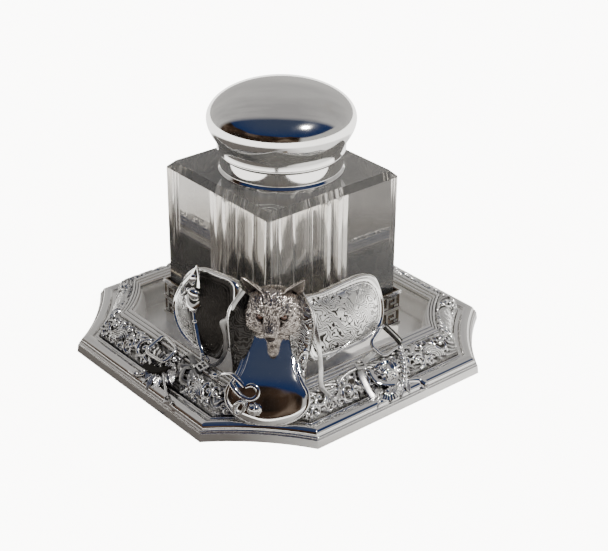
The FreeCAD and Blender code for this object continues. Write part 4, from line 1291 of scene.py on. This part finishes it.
def make_leathers(materials):
    """Stirrup leathers: flat straps from under the mask to the irons."""
    hanging = [(17.6, -57.5, 43.0), (18.8, -60.0, 39.0), (20.4, -62.5, 33.0), (21.3, -63.5, 24.0),
               (21.7, -64.5, 17.0)]
    lying = by_side(1, (-27.6, 62.4, 12.4), (-26.4, 64.6, 11.4), (-22.6, 62.6, 11.8), (-20.6, 59.8, 12.6),
                    (-16.4, 58.4, 14.4), (-10.5, 58.6, 15.4))
    tail = by_side(1, (-8.5, 58.0, 15.6), (-10.6, 61.5, 14.0), (-11.6, 66.0, 11.0), (-11.8, 69.6, 8.6))
    link = by_side(1, (-8.0, 57.8, 15.8), (-4.0, 56.6, 16.0), (1.0, 55.6, 17.0))
    pieces = [strap("leather", np.vstack([hanging, lying]), 1.8, 0.9, 150, up=(0, -1, 0.3), power=3.5),
              strap("tail", tail, 2.6, 0.7, 60, power=3.5),
              strap("link", link, 2.5, 0.9, 40, power=3.5)]
    whole = toned(join("leather_right", pieces), 0.60)
    finish_piece(whole, "stand", materials["chased"], "stirrup_leather_right")
    hanging = [(-8.0, -56.5, 51.4), (-11.4, -57.5, 46.4), (-13.8, -58.5, 41.0), (-15.8, -58.5, 37.8),
               (-15.0, -58.5, 32.0), (-15.4, -57.5, 25.2)]
    lying = by_side(-1, (-24.0, 50.9, 17.2), (-21.0, 55.5, 15.8), (-17.8, 57.3, 14.8))
    pieces = [strap("leather", np.vstack([hanging, lying]), lambda share: 1.7 + 1.2 * hump(share, 0.36, 0.05),
                    0.9, 150, up=(0, -1, 0.3), power=3.5)]
    # crumpled bow where the strap ends on the bank
    bow = [(2.6, (-17.5, 57.2, 15.0), (-13.0, 55.2, 16.6), (-9.4, 54.6, 15.6), (-8.2, 57.6, 13.4),
            (-11.6, 60.2, 13.6), (-16.6, 58.6, 14.6)),
           (2.2, (-17.8, 57.6, 15.0), (-15.4, 60.4, 14.4), (-17.2, 63.4, 11.6), (-20.4, 62.4, 11.4),
            (-18.4, 58.8, 14.2)),
           (1.9, (-18.0, 57.4, 15.2), (-21.6, 58.8, 14.0), (-24.6, 58.4, 13.4)),
           (1.5, (-17.8, 57.4, 15.2), (-20.6, 60.6, 13.2), (-24.0, 61.6, 12.2))]
    for wide, *path in bow:
        pieces.append(strap("bow", by_side(-1, *path), wide, 0.7, 60, power=3.0))
    knot = side_point(-1, -17.6, 57.4, 15.4)
    pieces.append(blob("knot", knot, (1.6, 0, 0), (0, 1.3, 0), (0, 0, 1.2), 0.12))
    whole = toned(join("leather_left", pieces), 0.35)
    finish_piece(whole, "stand", materials["chased"], "stirrup_leather_left")


def make_stirrup(side, corners, tread, facing, materials):
    """Shield-shaped iron with sharp edges and a wide flat tread along one side."""
    name = "stirrup_" + HANDS[side]
    loop = round_loop(by_side(side, *corners), 2.6, 8)
    iron = toned(strap("iron", loop, 1.6, 1.7, 160, around=12, closed=True, power=1.7, sharp=50), 1.0)
    plate = toned(strap("tread", by_side(side, *tread), 3.6, 0.9, 50, power=5.0, up=facing), 0.02)
    finish_piece(join(name, [iron, plate]), "stand", materials["chased"], name)


def make_stirrups(materials):
    """The left iron lies on the bank and the right one leans over it."""
    make_stirrup(-1, [(7.1, 53.9, 16.8), (7.6, 63.0, 12.3), (-4.9, 62.8, 12.8), (-4.6, 55.9, 16.3)],
                 [(2.8, 66.2, 10.0), (-5.0, 66.0, 10.6), (-7.8, 59.5, 13.0)], (0.2, -0.5, 0.8), materials)
    make_stirrup(1, [(8.8, 51.7, 25.0), (15.0, 56.5, 16.4), (3.8, 58.3, 15.2), (1.0, 53.2, 19.6)],
                 [(9.2, 52.4, 24.4), (12.2, 54.4, 20.6), (14.6, 56.6, 16.8)], (0.6, -0.2, 0.5), materials)


def make_buckles(materials):
    """Square strap buckles with a tongue."""
    pieces = []
    for side, along, out, z, turn in ((1, -8.6, 58.2, 16.6, 0.25), (-1, -21.2, 56.2, 16.6, -0.2)):
        corners = []
        for a, b in ((-1.9, -1.7), (1.9, -1.7), (1.9, 1.7), (-1.9, 1.7)):
            over = a * math.cos(turn) - b * math.sin(turn)
            down = a * math.sin(turn) + b * math.cos(turn)
            corners.append(side_point(side, along + over, out + down, z - 0.3 * down))
        ends = ((corners[0] + corners[3]) / 2, (corners[1] + corners[2]) / 2)
        outline = round_loop(corners, 0.5, 3)
        pieces.append(strap("frame", outline, 0.9, 0.9, 60, around=8, closed=True, power=3.0))
        pieces.append(strap("tongue", ends, 0.6, 0.6, 12, around=8))
    finish_piece(join("buckles", pieces), "stand", materials["polished"], "stirrup_buckles")


def make_crops(materials):
    """Riding crop across the left flap and a knobbed one across the right flap."""
    stick = by_side(-1, (-4.6, 47.2, 33.0), (-8.4, 49.5, 27.4), (-13.4, 51.6, 21.2), (-17.6, 52.6, 17.6))
    loop = by_side(-1, (-16.4, 52.6, 18.6), (-18.8, 54.4, 17.6), (-20.6, 53.4, 16.4), (-19.0, 51.6, 16.8))
    pieces = [strap("rod", stick, tapered(1.9, 1.4), tapered(1.7, 1.3), 60, around=14, power=4.0),
              strap("loop", loop, 0.9, 0.9, 50, around=10, closed=True)]
    for percent in (4, 30, 94):
        pieces.append(knob("band", curve_points(stick, 101)[percent], 1.25, 1.25, 0.9))
    finish_piece(join("riding_crop", pieces), "stand", materials["polished"], "riding_crop")
    stick = by_side(1, (-19.0, 50.2, 19.0), (-9.8, 50.0, 21.0), (-1.0, 49.2, 24.0), (2.2, 48.6, 25.6))
    pieces = [strap("rod", stick, tapered(1.0, 1.3), tapered(1.0, 1.3), 60, around=14),
              knob("knob", side_point(1, 2.8, 48.4, 25.9), 1.2, 1.2, 1.1)]
    finish_piece(join("crop_hook", pieces), "stand", materials["polished"], "crop_hook")


def make_cap(materials):
    """Riding cap on the outer corner of the left flap: domes, a brim, a strap ring and a tall forked peak."""
    out = np.array([-0.64, -0.64, 0.42])
    front = by_side(-1, (-3.6, 44.6, 49.0), (-1.0, 45.4, 44.2), (3.6, 46.2, 38.2))
    rear = by_side(-1, (-3.6, 44.6, 49.0), (-5.4, 45.4, 45.0), (-6.2, 46.2, 41.0))
    brim = by_side(-1, (1.0, 46.6, 34.8), (-2.4, 48.4, 33.2), (-6.4, 48.8, 33.4), (-8.6, 47.4, 35.4))
    ring = by_side(-1, (3.4, 46.0, 37.6), (5.4, 46.2, 35.6), (4.0, 47.0, 33.8), (2.2, 46.8, 35.6))
    pieces = [blob("dome", side_point(-1, -4.6, 46.6, 37.4), (2.3, -2.0, 0), out * 3.1, (0.2, 0.2, 2.9)),
              blob("crest", side_point(-1, -2.6, 45.8, 42.6), (1.3, -1.2, 0.2), out * 1.9, (0.4, -0.3, 2.9)),
              blob("button", side_point(-1, -0.4, 46.4, 37.0), (1.0, -0.9, 0), out * 1.5, (0, 0, 1.7)),
              strap("peak", front, tapered(0.8, 2.2), 0.7, 50, around=12, up=out, power=2.4),
              strap("peak", rear, tapered(0.8, 2.0), 0.7, 40, around=12, up=out, power=2.4),
              strap("brim", brim, 2.4, 0.8, 60, around=12, up=out, power=3.0),
              strap("ring", ring, 0.8, 0.8, 50, around=10, closed=True)]
    for tuft in range(6):
        here = side_point(-1, -7.4 + 1.6 * tuft, 48.6 - 0.1 * tuft, 31.8 + 0.12 * (tuft - 2.5) ** 2)
        pieces.append(blob("tuft", here, (0.8, 0.1, 0.2), (0, 0.7, 0), (0.1, 0, 1.3), 0.15, tuft))
    finish_piece(join("hunting_cap", pieces), "stand", materials["polished"], "hunting_cap")


def whip_width(share):
    """The stock narrows to a waist and swells again at its tip."""
    return 2.1 - 1.0 * smooth(0.1, 0.45, share) + 2.4 * smooth(0.55, 0.95, share)


def make_whip(materials):
    """Whip on the left bank: stock with an eyelet, lash curled over the seat's edge, ring and barrel."""
    stock = by_side(-1, (0.0, 60.6, 11.0), (-6.5, 64.4, 10.4), (-13.0, 68.2, 9.2), (-19.0, 71.4, 7.6),
                    (-21.4, 72.8, 6.9))
    corners = np.array([(0.9, 0.5, 0.2), (-0.2, 0.9, 0.2), (-0.9, -0.4, 0.2), (0.3, -0.9, 0.2)])
    eyelet = side_point(-1, -20.0, 71.9, 8.0) + corners
    pieces = [toned(strap("stock", stock, whip_width, 1.6, 90, around=24, power=2.6), 0.9),
              toned(strap("eyelet", eyelet, 0.6, 0.6, 40, around=8, closed=True), 0.1)]
    finish_piece(join("whip_handle", pieces), "stand", materials["chased"], "whip_handle")
    lash = [(-18.6, -61.0, 16.6), (-15.2, -65.5, 20.2), (-11.5, -69.3, 23.0), (-8.9, -71.4, 22.2),
            (-6.2, -72.4, 19.8), (-3.4, -72.8, 20.8), (-1.2, -73.6, 19.6), (-1.4, -74.8, 17.4),
            (-3.8, -75.6, 16.2), (-7.3, -75.2, 17.4), (-10.0, -73.8, 19.6), (-11.4, -71.8, 20.8)]
    pieces = [strap("lash", lash, 1.7, 1.2, 220, around=16, up=(0, -0.6, 0.8), power=2.4),
              knob("knob", (-18.8, -60.8, 16.8), 1.5, 1.3, 1.3)]
    finish_piece(join("whip_thong", pieces), "stand", materials["polished"], "whip_thong")
    turns = np.arange(16) / 16 * TAU
    cosine, sine = np.cos(turns), np.sin(turns)
    ring = np.column_stack([-7.7 + 1.9 * cosine + 0.8 * sine, -77.4 - 0.4 * sine, 13.6 + 2.9 * sine])
    x, y, z = -1.9, -77.8, 13.4
    pieces = [strap("ring", ring, 1.3, 1.3, 100, around=14, closed=True),
              blob("barrel", (x, y, z), (2.7, 0.2, 0.2), (0, 2.0, 0), (-0.2, 0, 2.3))]
    for share in (-0.6, 0.0, 0.6):
        round_here = math.sqrt(1 - share ** 2)
        hoop = np.column_stack([np.full(16, x + 2.7 * share), y + 2.2 * round_here * cosine,
                                z + 2.5 * round_here * sine])
        pieces.append(strap("hoop", hoop, 0.5, 0.5, 80, around=8, closed=True))
    finish_piece(join("whip_ferrule", pieces), "stand", materials["polished"], "whip_ferrule")


def make_right_ornaments(materials):
    """Crumpled cap, horn and shell on the right bank."""
    brim = by_side(1, (-5.0, 60.5, 13.4), (-5.2, 65.0, 11.0), (0.0, 67.8, 9.6), (5.6, 65.6, 10.2),
                   (7.2, 61.0, 12.6))
    along, out = by_side(1, (5.4, 0, 0), (0, 4.2, 0))
    crown = side_point(1, 1.6, 62.6, 12.0)
    pieces = [blob("crown", crown, along, out, (0, 0, 3.6), 0.16, 3, 90, 120),
              strap("brim", brim, 2.6, 0.9, 80, around=14, power=3.0)]
    finish_piece(join("jockey_cap", pieces), "stand", materials["polished"], "jockey_cap")
    tube = by_side(1, (-2.0, 66.4, 9.6), (3.0, 68.0, 8.6), (8.2, 68.6, 7.6), (12.2, 69.6, 6.6),
                   (13.6, 71.6, 5.2))
    lip = by_side(1, (14.6, 69.8, 4.8), (15.2, 71.9, 4.6), (12.8, 73.6, 4.4), (11.6, 72.0, 4.6))
    pieces = [strap("tube", tube, tapered(1.6, 3.6, 2), tapered(1.6, 3.6, 2), 90, around=24),
              strap("lip", lip, 0.8, 0.8, 60, around=10, closed=True)]
    finish_piece(join("hunting_horn", pieces), "stand", materials["polished"], "hunting_horn")
    along, out = -3.2, 69.4
    root = side_point(1, along, out, 7.0)
    ribs = []
    for number in range(9):
        angle = math.radians(-70 + 150 * number / 8)
        tip = side_point(1, along + 4.6 * math.sin(angle), out + 3.0 * math.cos(angle),
                         5.6 + 0.8 * math.sin(angle) ** 2)
        path = [root, (root + tip) / 2 + (0, 0, 1.3), tip]
        ribs.append(strap("rib", path, tapered(0.5, 1.5), tapered(0.6, 1.4), 24, around=10))
    ribs.append(knob("hinge", side_point(1, -3.4, 68.8, 7.6), 1.3, 1.2, 1.1))
    finish_piece(join("shell", ribs), "stand", materials["polished"], "shell_cup")


def make_sprays(materials):
    """Oak-like leaves and curled stems soldered along both banks."""
    pieces = leaves(-1, [((-4.0, 65.0, 9.6), (-1.6, 71.6, 5.2), 4.2, 1.0),
                         ((-5.0, 65.4, 9.6), (-6.0, 72.0, 5.4), 3.8, 1.2),
                         ((-6.0, 65.0, 9.6), (-10.2, 71.0, 5.6), 3.6, 1.0),
                         ((-3.4, 64.4, 9.8), (2.4, 68.8, 7.0), 3.2, 1.0),
                         ((-7.6, 63.8, 10.2), (-12.6, 66.2, 8.4), 3.0, 1.0),
                         ((-9.0, 61.6, 11.6), (-14.6, 66.0, 9.0), 3.0, 1.1)])
    hook = by_side(-1, (4.6, 62.6, 10.6), (0.6, 65.6, 10.0), (0.2, 69.4, 8.0), (3.6, 70.8, 6.6),
                   (8.6, 70.6, 5.8), (12.6, 70.9, 5.2))
    pieces.append(toned(strap("hook", hook, tapered(2.0, 1.1), tapered(1.6, 1.0), 90, around=14), 0.95))
    pieces.append(knob("ball", side_point(-1, 2.6, 70.9, 7.4), 1.4, 1.4, 1.3))
    pieces.append(knob("ball", side_point(-1, 0.4, 68.8, 9.0), 1.0, 1.0, 0.9))
    finish_piece(join("spray_left", pieces), "stand", materials["chased"], "leaf_spray_left")
    pieces = leaves(1, [((4.4, 65.8, 9.8), (0.6, 72.4, 5.0), 4.0, 1.1),
                        ((3.6, 66.0, 9.6), (-5.0, 72.4, 5.0), 3.4, 1.0),
                        ((5.0, 66.2, 9.6), (5.4, 72.2, 5.2), 3.6, 1.2),
                        ((-6.0, 66.8, 9.0), (-11.4, 71.8, 5.0), 3.2, 0.9),
                        ((-5.0, 67.0, 8.6), (-13.6, 70.0, 6.0), 2.6, 0.9),
                        ((11.0, 60.6, 12.8), (17.0, 61.0, 12.4), 3.0, 1.2),
                        ((12.0, 57.6, 14.2), (18.4, 58.0, 13.6), 2.8, 1.0),
                        ((9.6, 63.4, 11.0), (14.8, 65.4, 8.8), 2.8, 1.0)])
    # twisted sash that climbs the bank
    samples = 90
    middle = curve_points(by_side(1, (13.4, 56.4, 15.4), (11.6, 59.6, 14.0), (9.6, 63.0, 12.0),
                                  (6.6, 66.4, 9.8), (4.0, 69.4, 7.4)), samples)
    _, side, rise = frames_along(middle)
    for strand in range(3):
        angle = (np.linspace(0, 3.2, samples)[:, None] + strand / 3) * TAU
        path = middle + 1.1 * (side * np.cos(angle) + rise * np.sin(angle))
        pieces.append(toned(strap("strand", path, 1.5, 1.3, 160, around=10), 0.85))
    finish_piece(join("spray_right", pieces), "stand", materials["chased"], "leaf_spray_right")


# ---------------------------------------------------------------- studio

VIEW_TARGET = Vector((9.36, -1.12, 29.28)) * MM
VIEW_AZIMUTH = math.radians(4.93)
VIEW_ELEVATION = math.radians(28.15)
VIEW_ROLL = math.radians(0.48)
VIEW_DISTANCE = 608.9 * MM
LENS = 88.4
SENSOR = 36
SUN_AZIMUTH = math.radians(67)
SUN_ELEVATION = math.radians(60)
SUN_SPREAD = math.radians(4)
SUN_POWER = 2.6
FLOOR_SIZE = 6.0
FLOOR_GLOW = 9.0                 # makes the floor white to the camera
FAR_PAINTED_GLOW = 1.35                  # painted light: brightens what silver mirrors of the floor beyond NEAR_FLOOR
NEAR_FLOOR = (0.155, 0.180)      # metres from the middle over which the near floor ends


def towards(azimuth, elevation):
    """Unit vector towards a place round the object; azimuth 0 is the front."""
    return Vector((math.sin(azimuth) * math.cos(elevation), -math.cos(azimuth) * math.cos(elevation),
                   math.sin(elevation)))


def make_camera():
    """Camera that sees the object as the photograph does."""
    data = bpy.data.cameras.new("camera")
    data.lens = LENS
    data.sensor_width = SENSOR
    camera = bpy.data.objects.new("camera", data)
    bpy.context.scene.collection.objects.link(camera)
    back = towards(VIEW_AZIMUTH, VIEW_ELEVATION)
    right = Vector((math.cos(VIEW_AZIMUTH), math.sin(VIEW_AZIMUTH), 0))
    up = back.cross(right)
    turned_right = right * math.cos(VIEW_ROLL) + up * math.sin(VIEW_ROLL)
    turned_up = up * math.cos(VIEW_ROLL) - right * math.sin(VIEW_ROLL)
    matrix = Matrix((turned_right, turned_up, back)).transposed().to_4x4()
    matrix.translation = VIEW_TARGET + back * VIEW_DISTANCE
    camera.matrix_world = matrix
    bpy.context.scene.camera = camera


def blend(tree, share, first, second):
    """Second colour where share is 1, and the first elsewhere."""
    return add_node(tree, "MixRGB", Fac=share, Color1=first, Color2=second).outputs["Color"]


def make_floor():
    """Plain pale floor: white to the camera, with painted shade near the object on the left and a painted
    glow further out, both only where silver mirrors it.
    """
    mesh = bpy.data.meshes.new("floor")
    size = FLOOR_SIZE
    corners = [(-size, -size, 0), (size, -size, 0), (size, size, 0), (-size, size, 0)]
    mesh.from_pydata(corners, [], [(0, 1, 2, 3)])
    floor = bpy.data.objects.new("floor", mesh)
    bpy.context.scene.collection.objects.link(floor)
    material, tree, _ = new_material("floor")
    tint = ramp(tree, noise(tree, Scale=300.0, Detail=2.0), (0.3, (0.84, 0.835, 0.825)),
                (0.7, (0.88, 0.875, 0.865)))
    ray = add_node(tree, "LightPath").outputs
    place = add_node(tree, "NewGeometry").outputs["Position"]
    reach = add_node(tree, "VectorMath", operation="LENGTH")
    put(tree, reach.inputs[0], place)
    # painted light: beyond NEAR_FLOOR the floor glows brighter, but only for rays that silver mirrors
    far = remap(tree, reach.outputs["Value"], *NEAR_FLOOR, 0.0, FAR_PAINTED_GLOW)
    painted_far_reflection = maths(tree, "MULTIPLY", far, ray["Is Glossy Ray"])
    glow = maths(tree, "MULTIPLY_ADD", ray["Is Camera Ray"], FLOOR_GLOW, painted_far_reflection)
    # painted shade: near the object on the left the floor is darkened, but only for rays that silver mirrors
    left = remap(tree, add_node(tree, "SeparateXYZ", Vector=place).outputs["X"], 0.07, -0.01, 0.0, 0.93)
    near = remap(tree, reach.outputs["Value"], *NEAR_FLOOR, 1.0, 0.0)
    dark = maths(tree, "MULTIPLY", maths(tree, "MULTIPLY", left, near), ray["Is Glossy Ray"])
    set_surface(tree, Roughness=0.9, Base_Color=blend(tree, dark, tint, (0.035, 0.026, 0.020, 1)),
                Emission_Color=(1, 0.985, 0.95, 1), Emission_Strength=glow)
    mesh.materials.append(material)


def mirrored_sky(tree, place):
    """What silver mirrors: a deep sky over dark shrubs in front, and a pale sheet behind."""
    split = add_node(tree, "SeparateXYZ", Vector=place).outputs
    wobble = noise(tree, Vector=place, Scale=3.0, Detail=4.0)
    # how far the shrubs rise above the horizon: high in front, low on the right
    rise = remap(tree, split["X"], 0.30, 0.62, 0.56, 0.36)
    over = maths(tree, "MULTIPLY_ADD", wobble, 0.20, maths(tree, "SUBTRACT", split["Z"], rise))
    sky = ramp(tree, split["Z"], (0.20, (0.007, 0.018, 0.060)), (0.60, (0.010, 0.028, 0.098)),
               (1.0, (0.045, 0.058, 0.098)))
    shrubs = ramp(tree, wobble, (0.35, (0.008, 0.006, 0.005)), (0.55, (0.045, 0.026, 0.016)),
                  (0.72, (0.16, 0.12, 0.09)))
    low = blend(tree, remap(tree, split["X"], 0.50, 0.60), shrubs, (0.55, 0.54, 0.52, 1))
    front = blend(tree, remap(tree, over, 0.09, 0.14), low, sky)
    drift = noise(tree, Vector=stretched(tree, place, (1.6, 5.0, 1.2)), Scale=1.4, Detail=4.0)
    lower = maths(tree, "SUBTRACT", split["Z"], 0.65)
    sheet = ramp(tree, maths(tree, "MULTIPLY_ADD", drift, 1.3, lower), (0.0, (0.62, 0.61, 0.59)),
                 (0.45, (0.50, 0.49, 0.48)), (1.0, (0.36, 0.35, 0.35)))
    return blend(tree, remap(tree, split["Y"], 0.06, 0.20), front, sheet)


def background(tree, **values):
    """Sky light with the given colour and strength."""
    return add_node(tree, "Background", **values).outputs["Background"]


def either(tree, share, first, second):
    """Second shader where share is 1, and the first elsewhere."""
    node = add_node(tree, "MixShader", Fac=share)
    put(tree, node.inputs[1], first)
    put(tree, node.inputs[2], second)
    return node.outputs["Shader"]


def make_world():
    """Soft white light, with more to see for silver and a hazier view for rays that came through glass."""
    world = bpy.data.worlds.new("studio")
    bpy.context.scene.world = world
    world.use_nodes = True
    tree = world.node_tree
    tree.nodes.clear()
    out = add_node(tree, "OutputWorld")
    place = add_node(tree, "TexCoord").outputs["Generated"]
    streaks = noise(tree, Vector=place, Scale=4.5, Detail=3.0)
    haze = ramp(tree, streaks, (0.30, (0.035, 0.032, 0.028)), (0.46, (0.13, 0.120, 0.105)),
                (0.56, (0.34, 0.315, 0.28)), (0.64, (1.3, 1.2, 1.02)))
    soft = background(tree, Color=(0.98, 0.99, 1.0, 1), Strength=0.95)
    mirror = background(tree, Color=mirrored_sky(tree, place))
    ray = add_node(tree, "LightPath").outputs
    lit = either(tree, ray["Is Glossy Ray"], soft, mirror)
    seen = either(tree, ray["Is Transmission Ray"], lit, background(tree, Color=haze))
    put(tree, out.inputs["Surface"], seen)


def make_lights():
    """One soft sun from the front right."""
    sun = bpy.data.lights.new("key", "SUN")
    sun.energy = SUN_POWER
    sun.angle = SUN_SPREAD
    sun.color = (1.0, 0.97, 0.92)
    lamp = bpy.data.objects.new("key", sun)
    bpy.context.scene.collection.objects.link(lamp)
    lamp.rotation_euler = towards(SUN_AZIMUTH, SUN_ELEVATION).to_track_quat("Z", "Y").to_euler()


LOOKS_OF_CAD = {
    "smoked": ("gallery_wall",),
    "fret": ("gallery_fret", "hunting_cap", "hunting_horn", "jockey_cap", "shell_cup", "whip_ferrule",
             "leaf_spray_left", "leaf_spray_right", "stirrup_buckles", "whip_handle"),
    "wood": ("base_board",),
    "baize": ("baize_pad",),
    "steel": ("board_screws", "mounting_nuts", "mounting_studs"),
    "cement": ("collar_cement",),
    "gilt": ("lid_liner",),
    "hinge": ("hinge_pin", "hinge_leaf_lower", "hinge_leaf_upper")}


def paint_frame(materials):
    """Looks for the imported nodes: polished silver where nothing else is listed."""
    chosen = {node: look for look, nodes in LOOKS_OF_CAD.items() for node in nodes}
    for name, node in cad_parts.items():
        node.data.materials.clear()
        node.data.materials.append(materials[chosen.get(name, "polished")][0])


def main():
    """Builds every piece, then the camera, the floor and the light."""
    materials = make_materials()
    paint_frame(materials)
    make_foot(materials)
    make_border(materials)
    make_bank(materials)
    make_reeds(materials)
    make_tray(materials)
    make_bottle(materials)
    make_collar(materials)
    make_lid(materials)
    make_mask(materials)
    make_eyes(materials)
    make_seat(materials)
    make_piping(materials)
    for side in (-1, 1):
        make_flap(side, materials)
        make_skirt(side, materials)
    make_leathers(materials)
    make_stirrups(materials)
    make_buckles(materials)
    make_crops(materials)
    make_cap(materials)
    make_whip(materials)
    make_right_ornaments(materials)
    make_sprays(materials)
    make_camera()
    make_floor()
    make_world()
    make_lights()


main()
